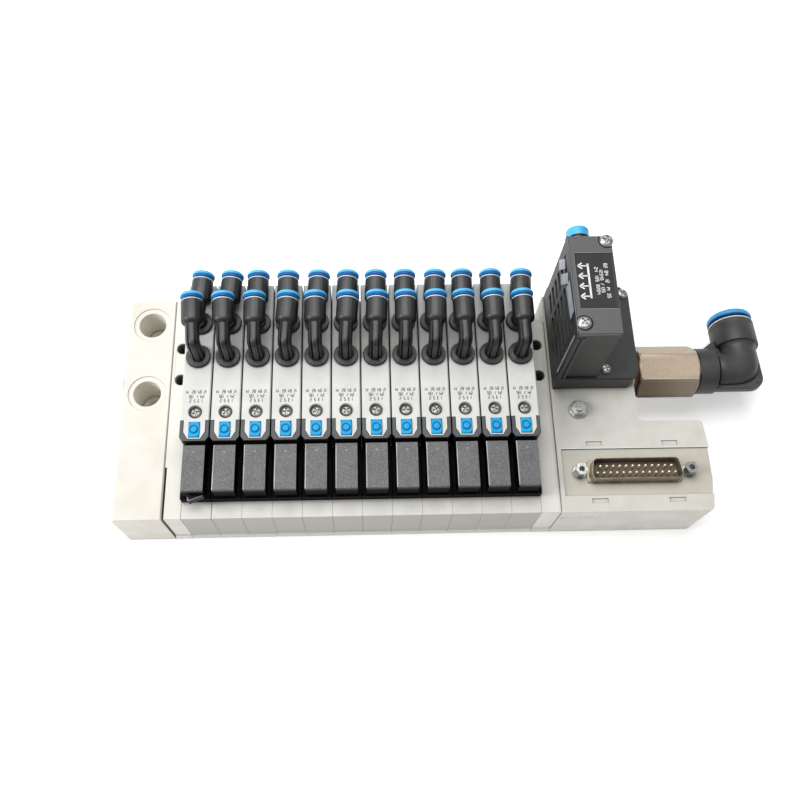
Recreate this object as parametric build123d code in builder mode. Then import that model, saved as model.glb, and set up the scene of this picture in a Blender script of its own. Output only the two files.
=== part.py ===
from build123d import *
import os
from math import cos, radians, sin

# Pneumatic valve island: twelve slim solenoid valves on sub-bases between an end plate and an
# interface module, with push-in elbow fittings, a louvred silencer and a swivelling supply elbow.
# Millimetres.  +X runs along the stations, +Y towards the tube outlets, +Z up.
# The origin is the centre of the base's mounting face.

os.makedirs("parts", exist_ok=True)

# ---------------------------------------------------------------- driving sizes
# base
stations = 12
pitch = 12.5
base_depth = 102.5
base_height = 31.4
end_plate_width = 20.4
feed_left_width = 7.9
feed_right_width = 8.5
module_width = 66.4
edge_break = 0.6
seam = 0.12

# end plate ports and blanking plug
port_radius = 6.0
port_depth = 17.0
port_gallery_radius = 4.0
port_gallery_depth = 7.0
port_places = (56.9, 90.2)
port_face_radius = 8.25
port_face_depth = 0.4
plug_radius = 7.0
plug_head = 3.0
plug_shank_radius = 5.4
plug_shank_length = 2.6
plug_place = 66.0
plug_height = 22.5

# feed strips
mount_hole_radius = 2.6
mount_hole_places = (63.2, 78.2)
feed_right_depth = 91.2
feed_right_corner = 3.0
recess_depth = 0.8
recess_length = 23.0

# sub-bases
sub_base_depth = 101.5
ledge_height = 5.6
front_recess = 0.5

# valves
valve_width = 12.0
valve_height = 15.0
valve_edge = 0.45
nose_shoulder = 38.4
nose_corner = 33.3
nose_width = 8.8
nose_tip_width = 5.2
nose_front = 30.3
interface_front = 29.3
interface_corner = 31.0
interface_tip_width = 9.4

# coils
coil_width = 9.0
coil_front = 8.4
coil_corner = 0.4
coil_drop = 2.0
coil_gap = 1.0
neck_drop = 4.2
skirt_height = 4.6
skirt_front = 7.6

# valve screws
screw_place = 42.1
screw_head_radius = 2.4
screw_head_height = 1.5
screw_sink_radius = 3.15
screw_sink_depth = 2.2

# manual overrides
override_width = 4.4
override_length = 6.6
override_place = 34.2
override_depth = 4.0
override_proud = 0.5
override_button_radius = 1.5
override_button_proud = 0.4
override_travel = 1.0

# round mouldings repeated along the row are drawn with flats, which keeps the whole row light
barrel_flats = 12
bore_flats = 8

# small push-in elbows, for 4 mm tube
disc_radius = 5.2
disc_thickness = 1.3
front_stem_place = 67.1
front_end_place = 88.8
rear_stem_place = 82.7
rear_axis_rise = 6.8
row_gap_above = 0.35
row_gap_behind = 0.6
arm_radius = 2.9
bend_chamfer = 1.4
# each fitting is turned a little about its stem, as it was left when the tubes came off
front_turns = (4.1, 2.9, 1.1, -3.4, 0.0, -3.4, -2.9, -1.6, -2.3, 0.0, 0.0, 0.0)
rear_turns = (-4.0, -4.0, 0.0, -1.1, -3.4, -3.4, -2.3, -2.3, -4.6, -2.3, -2.3, -5.7)
rib_width = 1.2
rib_spacing = 3.6
socket_radius = 4.55
socket_length = 10.6
tube_bore_radius = 2.1
tube_bore_depth = 8.5
ring_radius = 4.85
ring_thickness = 2.2
ring_travel = 0.8

# interface module
module_height = 33.0
supply_width = 37.3
electrical_depth = 40.4
supply_depth = 102.0
module_corner = 1.6
module_side_front = 14.0
module_side_rear = 28.4
module_front_taper = 2.0
module_rear_taper = 1.3
clip_length = 7.0
clip_width = 2.0
clip_depth = 0.5
clip_x = (16.4, 49.4)
clip_gap = 2.3
panel_start = 1.9
panel_width = 20.8
panel_end_gap = 0.4
panel_depth = 2.0
panel_sink = 0.7
panel_place = 17.45

# 25-way connector
connector_pitch = 2.77
connector_rows = 2.84
connector_offset = 32.4
pins_in_front = 13
pins_behind = 12
pin_radius = 0.5
pin_flats = 8
pin_length = 3.0
shell_length = 38.96
shell_width = 8.36
shell_slope = 10.0
shell_wall = 0.45
shell_rise = 5.6
shell_corner = 2.4
flange_margin = 1.0
flange_thickness = 0.4
insulator_height = 1.0
insulator_depth = 8.0
well_margin = 1.0
jackscrew_spacing = 47.04
jackscrew_washer_radius = 2.9
jackscrew_washer = 0.6
jackscrew_flats = 4.75
jackscrew_height = 4.8
jackscrew_hole_radius = 1.2
jackscrew_hole_depth = 4.0

# earth screw
earth_x = 10.9
earth_place = 45.8
earth_flange_radius = 3.9
earth_flange_thickness = 0.9
earth_flats = 6.4
earth_head_height = 2.4
earth_head_bevel = 0.4
earth_stud_radius = 2.1
earth_stud_height = 1.3

# silencer block
silencer_base_height = 9.6
silencer_front = 56.0
silencer_rear = 101.8
silencer_offset = 0.8
silencer_chamfer = 3.4
tower_front = 57.4
tower_width = 17.6
tower_rise = 52.0
tower_rear = 101.0
louvre_count = 6
louvre_pitch = 6.4
louvre_height = 3.8
louvre_depth = 8.5
louvre_front = 5.2
louvre_split = 27.0
louvre_post = 2.6
louvre_rear = 5.0
ridge_radius = 1.1
ridge_pitch = 2.0
ridge_count = 2
cover_thickness = 3.2
cover_overhang = 0.7
label_sink = 0.3
label_left = 2.2
label_from = 68.2
label_to = 93.3
pan_radius = 2.9
pan_height = 1.7
pan_front = (3.2, 61.8)
pan_rear = (16.0, 99.0)
pan_pocket_radius = 3.5
pan_pocket_depth = 0.6
base_screw_radius = 2.3
base_screw_height = 1.5
base_screw_front = (21.9, 60.9)
base_screw_rear = (33.6, 97.6)

# pilot fitting on the silencer tower
pilot_x = 7.6
pilot_drop = 11.0
pilot_body_radius = 4.25
pilot_body_length = 6.8

# supply side
supply_place = 69.0
supply_height = 20.6
adapter_flats = 21.0
adapter_start = 3.3
adapter_length = 28.9
adapter_bevel = 1.3
adapter_turn = 9.7
adapter_neck_radius = 9.6
adapter_shank_radius = 6.6
adapter_shank_length = 7.5
swivel_gap = 0.25
spigot_radius = 6.0
spigot_length = 7.0
running_clearance = 0.06
hub_radius = 10.5
hub_length = 9.0
elbow_radius = 7.2
leg_offset = 22.7
leg_socket_radius = 10.3
leg_socket_start = 11.5
leg_length = 28.4
leg_tilt = -6.0
leg_rib = 3.4
leg_rib_reach = 8.9
leg_rib_foot = 10.2
leg_rib_corner = 6.5
web_start = 18.4
web_rise = 9.6
web_top = 17.0
supply_bore_radius = 6.0
supply_bore_depth = 15.0
supply_ring_radius = 10.2
supply_ring_thickness = 3.0
supply_ring_travel = 1.2
supply_sleeve_radius = 7.6
supply_sleeve_length = 4.0

slide_clearance = 0.1
seat_clearance = 0.05

# ---------------------------------------------------------------- places
base_length = end_plate_width + feed_left_width + stations * pitch + feed_right_width + module_width
x_end = -base_length / 2
x_feed_left = x_end + end_plate_width
x_stations = x_feed_left + feed_left_width
x_feed_right = x_stations + stations * pitch
x_module = x_feed_right + feed_right_width
x_supply_right = x_module + supply_width
x_right = x_module + module_width
y_front = -base_depth / 2
valve_top = base_height + valve_height
# the front row's sockets pass just above the rear row's bends and end just short of its sockets
front_axis_rise = rear_axis_rise + arm_radius + row_gap_above + socket_radius
rear_end_place = front_end_place + row_gap_behind + socket_length + ring_travel + ring_thickness
station_centres = [x_stations + pitch * (i + 0.5) for i in range(stations)]


def at(place):
    """Y of a place measured back from the base's front face."""
    return y_front + place


def base_outline(rear):
    """Side outline of a base moulding back to y = rear: a low ledge along the foot of its front."""
    return [
        (y_front, 0),
        (rear, 0),
        (rear, base_height),
        (y_front + front_recess, base_height),
        (y_front + front_recess, ledge_height),
        (y_front, ledge_height - front_recess),
    ]


# ---------------------------------------------------------------- end plate
with BuildPart() as end_plate:
    with BuildSketch(Plane.YZ.offset(x_end)) as end_profile:
        with Locations((0, base_height / 2)):
            Rectangle(base_depth, base_height)
    extrude(amount=end_plate_width - seam)
    chamfer(end_plate.faces().sort_by(Axis.Z)[-1].edges(), edge_break)
    with BuildSketch(Plane.XY.offset(base_height)):
        with Locations(*[(x_end + end_plate_width / 2, at(place)) for place in port_places]):
            Circle(port_face_radius)
    extrude(amount=-port_face_depth, mode=Mode.SUBTRACT)
    with BuildSketch(Plane.XY.offset(base_height)):
        with Locations(*[(x_end + end_plate_width / 2, at(place)) for place in port_places]):
            Circle(port_radius)
    extrude(amount=-port_depth, mode=Mode.SUBTRACT)
    with BuildSketch(Plane.XY.offset(base_height)):
        with Locations(*[(x_end + end_plate_width / 2, at(place)) for place in port_places]):
            Circle(port_gallery_radius)
    extrude(amount=-port_depth - port_gallery_depth, mode=Mode.SUBTRACT)
    with BuildSketch(Plane.YZ.offset(x_end)):
        with Locations((at(plug_place), plug_height)):
            Circle(plug_shank_radius + seat_clearance)
    extrude(amount=plug_shank_length + seat_clearance, mode=Mode.SUBTRACT)
end_plate.part.label = "end_plate"
export_step(end_plate.part, "parts/end_plate.step")

# blanking plug: a bevelled head over a short shank, turned as one piece
with BuildPart() as end_plug:
    with BuildSketch(Plane.XY.offset(plug_height)):
        with BuildLine():
            Polyline(
                (x_end + plug_shank_length, at(plug_place)),
                (x_end + plug_shank_length, at(plug_place) + plug_shank_radius),
                (x_end, at(plug_place) + plug_shank_radius),
                (x_end, at(plug_place) + plug_radius),
                (x_end - plug_head / 2, at(plug_place) + plug_radius),
                (x_end - plug_head, at(plug_place) + plug_radius - plug_head / 2),
                (x_end - plug_head, at(plug_place)),
                close=True,
            )
        make_face()
    revolve(axis=Axis((x_end, at(plug_place), plug_height), (1, 0, 0)))
end_plug.part.label = "end_plug"
export_step(end_plug.part, "parts/end_plug.step")

# ---------------------------------------------------------------- feed strips
# Each strip closes one end of the row and carries two mounting holes through the base.
with BuildPart() as feed_plates:
    x_outer = x_module - seam / 2
    with BuildSketch(Plane.YZ.offset(x_feed_left + seam / 2)):
        with BuildLine():
            Polyline(*base_outline(-y_front), close=True)
        make_face()
    extrude(amount=feed_left_width - seam)
    with BuildSketch(Plane.YZ.offset(x_outer)):
        with BuildLine():
            Polyline(*base_outline(at(feed_right_depth)), close=True)
        make_face()
    extrude(amount=seam - feed_right_width)
    outer_corner = (x_outer, at(feed_right_depth), base_height / 2)
    chamfer(feed_plates.edges().filter_by(Axis.Z).sort_by_distance(outer_corner)[0], feed_right_corner)
    with BuildSketch():
        with Locations((x_feed_left, y_front)):
            Rectangle(2 * recess_depth, 2 * recess_length)
    extrude(amount=base_height, mode=Mode.SUBTRACT)
    with BuildSketch():
        for x in (x_feed_left + feed_left_width / 2, (x_feed_right + x_module) / 2):
            with Locations(*[(x, at(place)) for place in mount_hole_places]):
                Circle(mount_hole_radius)
    extrude(amount=base_height, mode=Mode.SUBTRACT)
feed_plates.part.label = "feed_plates"
export_step(feed_plates.part, "parts/feed_plates.step")

# ---------------------------------------------------------------- sub-bases
# One moulding per station, each with the same ledge along its foot.
with BuildPart() as sub_bases:
    for x in station_centres:
        with BuildSketch(Plane.YZ.offset(x - (pitch - seam) / 2)):
            with BuildLine():
                Polyline(*base_outline(at(sub_base_depth)), close=True)
            make_face()
        extrude(amount=pitch - seam)
sub_bases.part.label = "sub_bases"
export_step(sub_bases.part, "parts/sub_bases.step")


# ---------------------------------------------------------------- valves
def nose_outline(x):
    """The front of a valve body: a step in from its full width, then a bevelled tip."""
    side = nose_width / 2
    tip = nose_tip_width / 2
    return [
        (x - side, at(nose_shoulder)),
        (x - side, at(nose_corner)),
        (x - tip, at(nose_front)),
        (x + tip, at(nose_front)),
        (x + side, at(nose_corner)),
        (x + side, at(nose_shoulder)),
    ]


with BuildPart() as valve_bodies:
    for x in station_centres:
        with BuildSketch(Plane.XY.offset(base_height)):
            with BuildLine():
                half = valve_width / 2
                rear = at(sub_base_depth)
                shoulder = at(nose_shoulder)
                body = [(x + half, shoulder), (x + half, rear), (x - half, rear), (x - half, shoulder)]
                Polyline(*nose_outline(x), *body, close=True)
            make_face()
        extrude(amount=valve_height)
    tops = valve_bodies.faces().filter_by(Axis.Z).group_by(Axis.Z)[-1]
    long_edges = tops.edges().filter_by(Axis.Y).filter_by(lambda e: e.length > valve_width)
    chamfer(long_edges, valve_edge)
    with BuildSketch(Plane.XY.offset(valve_top)):
        with Locations(*[(x, at(override_place)) for x in station_centres]):
            Rectangle(override_width + 2 * slide_clearance, override_length + 2 * slide_clearance)
    extrude(amount=-override_depth - override_travel - slide_clearance, mode=Mode.SUBTRACT)
    with BuildSketch(Plane.XY.offset(valve_top)):
        with Locations(*[(x, at(screw_place)) for x in station_centres]):
            RegularPolygon(screw_sink_radius, bore_flats)
    extrude(amount=-screw_sink_depth, mode=Mode.SUBTRACT)
valve_bodies.part.label = "valve_bodies"
export_step(valve_bodies.part, "parts/valve_bodies.step")

# black pilot interfaces, wrapped round the valve noses
with BuildPart() as pilot_interfaces:
    for x in station_centres:
        with BuildSketch(Plane.XY.offset(base_height)):
            with BuildLine():
                half = valve_width / 2
                tip = interface_tip_width / 2
                Polyline(
                    (x - half, at(nose_shoulder)),
                    (x - half, at(interface_corner)),
                    (x - tip, at(interface_front)),
                    (x + tip, at(interface_front)),
                    (x + half, at(interface_corner)),
                    (x + half, at(nose_shoulder)),
                    close=True,
                )
            make_face()
            with BuildLine():
                Polyline(*nose_outline(x), close=True)
            make_face(mode=Mode.SUBTRACT)
        extrude(amount=valve_height)
pilot_interfaces.part.label = "pilot_interfaces"
export_step(pilot_interfaces.part, "parts/pilot_interfaces.step")

# solenoid coils: a block over a wider skirt, joined to the interface by a lower neck; the skirts
# meet in one dark band along the row
with BuildPart() as solenoid_coils:
    coil_rear = interface_front - coil_gap
    coil_length = coil_rear - coil_front
    skirt_length = interface_front - skirt_front
    with BuildSketch(Plane.XY.offset(base_height)):
        with Locations(*[(x, at(interface_front) - skirt_length / 2) for x in station_centres]):
            Rectangle(pitch - seam, skirt_length)
    extrude(amount=skirt_height)
    with BuildSketch(Plane.XY.offset(base_height + skirt_height)):
        with Locations(*[(x, at(interface_front) - coil_gap) for x in station_centres]):
            Rectangle(coil_width - 2 * coil_corner, 2 * coil_gap)
    extrude(amount=valve_height - neck_drop - skirt_height)
    with BuildSketch(Plane.XY.offset(base_height + skirt_height)):
        with Locations(*[(x, at(coil_rear) - coil_length / 2) for x in station_centres]):
            Rectangle(coil_width, coil_length)
    extrude(amount=valve_height - coil_drop - skirt_height)
    coil_fronts = solenoid_coils.faces().filter_by(Axis.Z).group_by(Axis.Z)[-1].edges().group_by(Axis.Y)[0]
    chamfer(coil_fronts, coil_corner)
solenoid_coils.part.label = "solenoid_coils"
export_step(solenoid_coils.part, "parts/solenoid_coils.step")

# valve screws, seated in the sunk holes
with BuildPart() as valve_screws:
    with BuildSketch(Plane.XY.offset(valve_top - screw_sink_depth)):
        with Locations(*[(x, at(screw_place)) for x in station_centres]):
            RegularPolygon(screw_head_radius, bore_flats)
    extrude(amount=screw_head_height)
valve_screws.part.label = "valve_screws"
export_step(valve_screws.part, "parts/valve_screws.step")

# manual overrides, one press button in each valve nose
for i, x in enumerate(station_centres, start=1):
    with BuildPart() as override:
        with BuildSketch(Plane.XY.offset(valve_top - override_depth)):
            with Locations((x, at(override_place))):
                Rectangle(override_width, override_length)
        extrude(amount=override_depth + override_proud)
        with BuildSketch(Plane.XY.offset(valve_top + override_proud)):
            with Locations((x, at(override_place))):
                RegularPolygon(override_button_radius, bore_flats)
        extrude(amount=override_button_proud)
    override.part.label = f"override_{i:02d}"
    export_step(override.part, f"parts/override_{i:02d}.step")


# ---------------------------------------------------------------- small push-in elbows
# Each elbow stands on its valve on a foot disc: a ribbed neck, an arm and a tube socket, with a
# sprung release ring in front of the socket.  The front row's arms pass over the rear row's.
rows = (
    ("front", front_stem_place, front_axis_rise, front_end_place, front_turns),
    ("rear", rear_stem_place, rear_axis_rise, rear_end_place, rear_turns),
)
for row, stem_place, axis_rise, end_place, turns in rows:
    stems = [Location((x, at(stem_place), 0), (0, 0, turn)) for x, turn in zip(station_centres, turns)]
    # every arm's axis as a plane square to it at the stem, facing along the arm
    arm_axis = Location((0, 0, valve_top + axis_rise), (-90, 0, 0))
    arms = [Plane(stem * arm_axis) for stem in stems]
    ring_reach = end_place - stem_place - ring_thickness
    socket_reach = ring_reach - ring_travel
    with BuildPart() as elbows:
        with BuildSketch(*[arm.offset(-arm_radius) for arm in arms]):
            RegularPolygon(arm_radius, bore_flats)
        extrude(amount=arm_radius + socket_reach)
        chamfer(elbows.faces().sort_by(Axis.Y)[:stations].edges(), bend_chamfer)
        with BuildSketch(Plane.XY.offset(valve_top)):
            with Locations(*stems):
                RegularPolygon(disc_radius, barrel_flats)
        extrude(amount=disc_thickness)
        with BuildSketch(Plane.XY.offset(valve_top + disc_thickness)):
            with Locations(*stems):
                Rectangle(rib_spacing, 2 * arm_radius - 2 * rib_width)
                with GridLocations(rib_spacing, 1, 2, 1):
                    Rectangle(rib_width, 2 * arm_radius)
        extrude(amount=axis_rise - disc_thickness)
        with BuildSketch(*[arm.offset(socket_reach) for arm in arms]):
            RegularPolygon(socket_radius, barrel_flats)
        extrude(amount=-socket_length)
        with BuildSketch(*[arm.offset(socket_reach) for arm in arms]):
            RegularPolygon(tube_bore_radius, bore_flats, major_radius=False)
        extrude(amount=-tube_bore_depth, mode=Mode.SUBTRACT)
    elbows.part.label = f"{row}_elbows"
    export_step(elbows.part, f"parts/{row}_elbows.step")

    for i, arm in enumerate(arms, start=1):
        with BuildPart() as release_ring:
            with BuildSketch(arm.offset(ring_reach)):
                RegularPolygon(ring_radius, barrel_flats)
                RegularPolygon(tube_bore_radius, bore_flats, major_radius=False, mode=Mode.SUBTRACT)
            extrude(amount=ring_thickness)
        release_ring.part.label = f"{row}_ring_{i:02d}"
        export_step(release_ring.part, f"parts/{row}_ring_{i:02d}.step")

# ---------------------------------------------------------------- interface module
connector_x = x_module + connector_offset
x_panel = x_module + panel_start
panel_front = panel_place - panel_width / 2
panel_rear = panel_place + panel_width / 2
with BuildPart() as interface_module:
    with BuildSketch() as module_plan:
        with BuildLine():
            Polyline(
                (x_module, y_front),
                (x_right - module_front_taper, y_front),
                (x_right, at(module_side_front)),
                (x_right, at(module_side_rear)),
                (x_right - module_rear_taper, at(electrical_depth)),
                (x_supply_right, at(electrical_depth)),
                (x_supply_right, at(supply_depth)),
                (x_module, at(supply_depth)),
                close=True,
            )
        make_face()
        outer_corners = ((x_right, y_front), (x_right, at(electrical_depth)), (x_supply_right, at(supply_depth)))
        fillet([module_plan.vertices().sort_by_distance(corner)[0] for corner in outer_corners], module_corner)
    extrude(amount=module_height)
    # step for the panel, open at the module's right side
    with BuildSketch(Plane.XY.offset(module_height)):
        step_left = x_panel - seat_clearance
        with Locations(((step_left + x_right) / 2, at(panel_place))):
            Rectangle(x_right - step_left, panel_width + 2 * seat_clearance)
    extrude(amount=-panel_sink - panel_depth, mode=Mode.SUBTRACT)
    # well under the panel, for the connector's body
    with BuildSketch(Plane.XY.offset(module_height - panel_sink - panel_depth)):
        with Locations((connector_x, at(panel_place))):
            Rectangle(shell_length + 2 * well_margin, shell_width + 2 * well_margin)
    extrude(amount=-insulator_depth, mode=Mode.SUBTRACT)
    # shallow windows of the panel's clips, two behind it and two in front
    with BuildSketch(Plane.XY.offset(module_height)):
        for place in (panel_front - clip_gap, panel_rear + clip_gap):
            with Locations(*[(x_module + x, at(place)) for x in clip_x]):
                Rectangle(clip_length, clip_width)
    extrude(amount=-clip_depth, mode=Mode.SUBTRACT)
    # threaded socket for the supply adapter
    with BuildSketch(Plane.YZ.offset(x_supply_right)):
        with Locations((at(supply_place), supply_height)):
            Circle(adapter_shank_radius + seat_clearance)
    extrude(amount=-adapter_shank_length - seat_clearance, mode=Mode.SUBTRACT)
interface_module.part.label = "interface_module"
export_step(interface_module.part, "parts/interface_module.step")


# ---------------------------------------------------------------- connector
panel_top = module_height - panel_sink


def shell_outline(margin):
    """The slanted D outline, wider at the front; margin grows it on every side."""
    half_width = shell_width / 2 + margin
    half_length = shell_length / 2 + margin
    lean = 2 * half_width * sin(radians(shell_slope)) / cos(radians(shell_slope))
    x = connector_x
    y = at(panel_place)
    return [
        (x - half_length, y - half_width),
        (x + half_length, y - half_width),
        (x + half_length - lean, y + half_width),
        (x - half_length + lean, y + half_width),
    ]


with BuildPart() as connector_panel:
    with BuildSketch(Plane.XY.offset(panel_top - panel_depth)):
        with BuildLine():
            # the right end follows the module's side
            x_panel_right = x_right - panel_end_gap
            front_inset = module_front_taper * (module_side_front - panel_front) / module_side_front
            Polyline(
                (x_panel, at(panel_front)),
                (x_panel_right - front_inset, at(panel_front)),
                (x_panel_right, at(module_side_front)),
                (x_panel_right, at(panel_rear)),
                (x_panel, at(panel_rear)),
                close=True,
            )
        make_face()
        with BuildLine():
            Polyline(*shell_outline(shell_wall + slide_clearance), close=True)
        make_face(mode=Mode.SUBTRACT)
    extrude(amount=panel_depth)
connector_panel.part.label = "connector_panel"
export_step(connector_panel.part, "parts/connector_panel.step")

# drawn steel shell: a flange on the panel and a D-shaped rim round the pins
with BuildPart() as connector_shell:
    with BuildSketch(Plane.XY.offset(panel_top)) as flange_sketch:
        with Locations((connector_x, at(panel_place))):
            RectangleRounded(shell_length + 2 * flange_margin, shell_width + 2 * flange_margin, shell_corner)
    extrude(amount=flange_thickness)
    with BuildSketch(Plane.XY.offset(panel_top)) as rim_sketch:
        with BuildLine():
            Polyline(*shell_outline(shell_wall), close=True)
        make_face()
        fillet(rim_sketch.vertices(), shell_corner)
    extrude(amount=shell_rise)
    with BuildSketch(Plane.XY.offset(panel_top)) as mouth_sketch:
        with BuildLine():
            Polyline(*shell_outline(0), close=True)
        make_face()
        fillet(mouth_sketch.vertices(), shell_corner - shell_wall)
    extrude(amount=shell_rise, mode=Mode.SUBTRACT)
connector_shell.part.label = "connector_shell"
export_step(connector_shell.part, "parts/connector_shell.step")

# insulator block, filling the D from the well up to just above the flange
pin_places = []
for count, side in ((pins_in_front, -1), (pins_behind, 1)):
    for i in range(count):
        pin_x = connector_x + (i - (count - 1) / 2) * connector_pitch
        pin_places.append((pin_x, at(panel_place) + side * connector_rows / 2))

with BuildPart() as connector_insulator:
    with BuildSketch(Plane.XY.offset(panel_top - insulator_depth)) as insulator_sketch:
        with BuildLine():
            Polyline(*shell_outline(-seat_clearance), close=True)
        make_face()
        fillet(insulator_sketch.vertices(), shell_corner - shell_wall)
    extrude(amount=insulator_depth + flange_thickness + insulator_height)
connector_insulator.part.label = "connector_insulator"
export_step(connector_insulator.part, "parts/connector_insulator.step")

with BuildPart() as connector_pins:
    with BuildSketch(Plane.XY.offset(panel_top + flange_thickness + insulator_height)):
        with Locations(*pin_places):
            RegularPolygon(pin_radius, pin_flats)
    extrude(amount=pin_length)
connector_pins.part.label = "connector_pins"
export_step(connector_pins.part, "parts/connector_pins.step")

with BuildPart() as connector_jackscrews:
    jack_places = [(connector_x + side * jackscrew_spacing / 2, at(panel_place)) for side in (-1, 1)]
    with BuildSketch(Plane.XY.offset(panel_top)):
        with Locations(*jack_places):
            Circle(jackscrew_washer_radius)
    extrude(amount=jackscrew_washer)
    with BuildSketch(Plane.XY.offset(panel_top + jackscrew_washer)):
        with Locations(*jack_places):
            RegularPolygon(jackscrew_flats / 2, 6, major_radius=False)
    extrude(amount=jackscrew_height)
    with BuildSketch(Plane.XY.offset(panel_top + jackscrew_washer + jackscrew_height)):
        with Locations(*jack_places):
            Circle(jackscrew_hole_radius)
    extrude(amount=-jackscrew_hole_depth, mode=Mode.SUBTRACT)
connector_jackscrews.part.label = "connector_jackscrews"
export_step(connector_jackscrews.part, "parts/connector_jackscrews.step")

# ---------------------------------------------------------------- earth screw
with BuildPart() as earth_screw:
    earth_centre = (x_module + earth_x, at(earth_place))
    with BuildSketch(Plane.XY.offset(module_height)):
        with Locations(earth_centre):
            Circle(earth_flange_radius)
    extrude(amount=earth_flange_thickness)
    with BuildSketch(Plane.XY.offset(module_height + earth_flange_thickness)):
        with Locations(earth_centre):
            RegularPolygon(earth_flats / 2, 6, major_radius=False)
    extrude(amount=earth_head_height)
    chamfer(earth_screw.faces().sort_by(Axis.Z)[-1].edges(), earth_head_bevel)
    with BuildSketch(Plane.XY.offset(module_height + earth_flange_thickness + earth_head_height)):
        with Locations(earth_centre):
            Circle(earth_stud_radius)
    extrude(amount=earth_stud_height)
earth_screw.part.label = "earth_screw"
export_step(earth_screw.part, "parts/earth_screw.step")

# ---------------------------------------------------------------- silencer block
# A base on the supply part and a tower whose left side is open in rows of louvres.
x_silencer = x_module + silencer_offset
base_top = module_height + silencer_base_height
tower_top = module_height + tower_rise
tower_length = tower_rear - tower_front
tower_middle = (tower_front + tower_rear) / 2
pan_centres = [(x_silencer + x, at(place)) for x, place in (pan_front, pan_rear)]
with BuildPart() as silencer_housing:
    with BuildSketch(Plane.XY.offset(module_height)):
        with BuildLine():
            Polyline(
                (x_silencer, at(silencer_front)),
                (x_supply_right - silencer_chamfer, at(silencer_front)),
                (x_supply_right, at(silencer_front) + silencer_chamfer),
                (x_supply_right, at(silencer_rear) - silencer_chamfer),
                (x_supply_right - silencer_chamfer, at(silencer_rear)),
                (x_silencer, at(silencer_rear)),
                close=True,
            )
        make_face()
    extrude(amount=silencer_base_height)
    chamfer(silencer_housing.faces().sort_by(Axis.Z)[-1].edges(), edge_break)
    with BuildSketch(Plane.XY.offset(module_height + edge_break)):
        with Locations((x_silencer + tower_width / 2, at(tower_middle))):
            Rectangle(tower_width, tower_length)
    extrude(amount=tower_rise - edge_break - cover_thickness)
    # double ridge down the tower's front left corner
    with BuildSketch(Plane.XY.offset(module_height + edge_break)):
        with Locations(*[(x_silencer + ridge_radius + i * ridge_pitch, at(tower_front)) for i in range(ridge_count)]):
            RegularPolygon(ridge_radius, bore_flats)
    extrude(amount=tower_rise - edge_break - cover_thickness)
    # cover with a small overhang, a pocket under each screw and a sunk field for the flow marks
    with BuildSketch(Plane.XY.offset(tower_top - cover_thickness)):
        with Locations((x_silencer + (tower_width + cover_overhang) / 2, at(tower_middle))):
            Rectangle(tower_width + cover_overhang, tower_length + 2 * cover_overhang)
    extrude(amount=cover_thickness)
    chamfer(silencer_housing.faces().sort_by(Axis.Z)[-1].edges(), edge_break)
    with BuildSketch(Plane.XY.offset(tower_top)):
        with Locations(*pan_centres):
            RegularPolygon(pan_pocket_radius, barrel_flats)
    extrude(amount=-pan_pocket_depth, mode=Mode.SUBTRACT)
    with BuildSketch(Plane.XY.offset(tower_top)):
        label_right = tower_width + cover_overhang - edge_break
        with Locations((x_silencer + (label_left + label_right) / 2, at((label_from + label_to) / 2))):
            Rectangle(label_right - label_left, label_to - label_from)
    extrude(amount=-label_sink, mode=Mode.SUBTRACT)
    # louvres: long slots in front, short ones behind a post
    louvre_first = tower_top - cover_thickness - louvre_height
    long_slot = louvre_split - louvre_front
    short_slot = tower_length - louvre_rear - louvre_split - louvre_post
    with BuildSketch(Plane.YZ.offset(x_silencer)):
        for row in range(louvre_count):
            slot_z = louvre_first - row * louvre_pitch
            with Locations((at(tower_front) + louvre_front + long_slot / 2, slot_z)):
                Rectangle(long_slot, louvre_height)
            with Locations((at(tower_front) + louvre_split + louvre_post + short_slot / 2, slot_z)):
                Rectangle(short_slot, louvre_height)
    extrude(amount=louvre_depth, mode=Mode.SUBTRACT)
silencer_housing.part.label = "silencer_housing"
export_step(silencer_housing.part, "parts/silencer_housing.step")

# pan-head screws: two in the cover's pockets, two on the base beside the tower
with BuildPart() as silencer_screws:
    with BuildSketch(Plane.XY.offset(tower_top - pan_pocket_depth)):
        with Locations(*pan_centres):
            Circle(pan_radius)
    extrude(amount=pan_pocket_depth + pan_height)
    with BuildSketch(Plane.XY.offset(base_top)):
        with Locations(*[(x_silencer + x, at(place)) for x, place in (base_screw_front, base_screw_rear)]):
            Circle(base_screw_radius)
    extrude(amount=base_screw_height)
silencer_screws.part.label = "silencer_screws"
export_step(silencer_screws.part, "parts/silencer_screws.step")

# pilot push-in fitting in the tower's rear face
pilot_centre = (x_silencer + pilot_x, tower_top - pilot_drop)
with BuildPart() as pilot_fitting:
    with BuildSketch(Plane.XZ.offset(-at(tower_rear))):
        with Locations(pilot_centre):
            RegularPolygon(pilot_body_radius, barrel_flats)
            RegularPolygon(tube_bore_radius, bore_flats, major_radius=False, mode=Mode.SUBTRACT)
    extrude(amount=-pilot_body_length)
pilot_fitting.part.label = "pilot_fitting"
export_step(pilot_fitting.part, "parts/pilot_fitting.step")

with BuildPart() as pilot_ring:
    ring_back = at(tower_rear) + pilot_body_length + ring_travel
    with BuildSketch(Plane.XZ.offset(-ring_back)):
        with Locations(pilot_centre):
            RegularPolygon(ring_radius, barrel_flats)
            RegularPolygon(tube_bore_radius, bore_flats, major_radius=False, mode=Mode.SUBTRACT)
    extrude(amount=-ring_thickness)
pilot_ring.part.label = "pilot_ring"
export_step(pilot_ring.part, "parts/pilot_ring.step")

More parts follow.
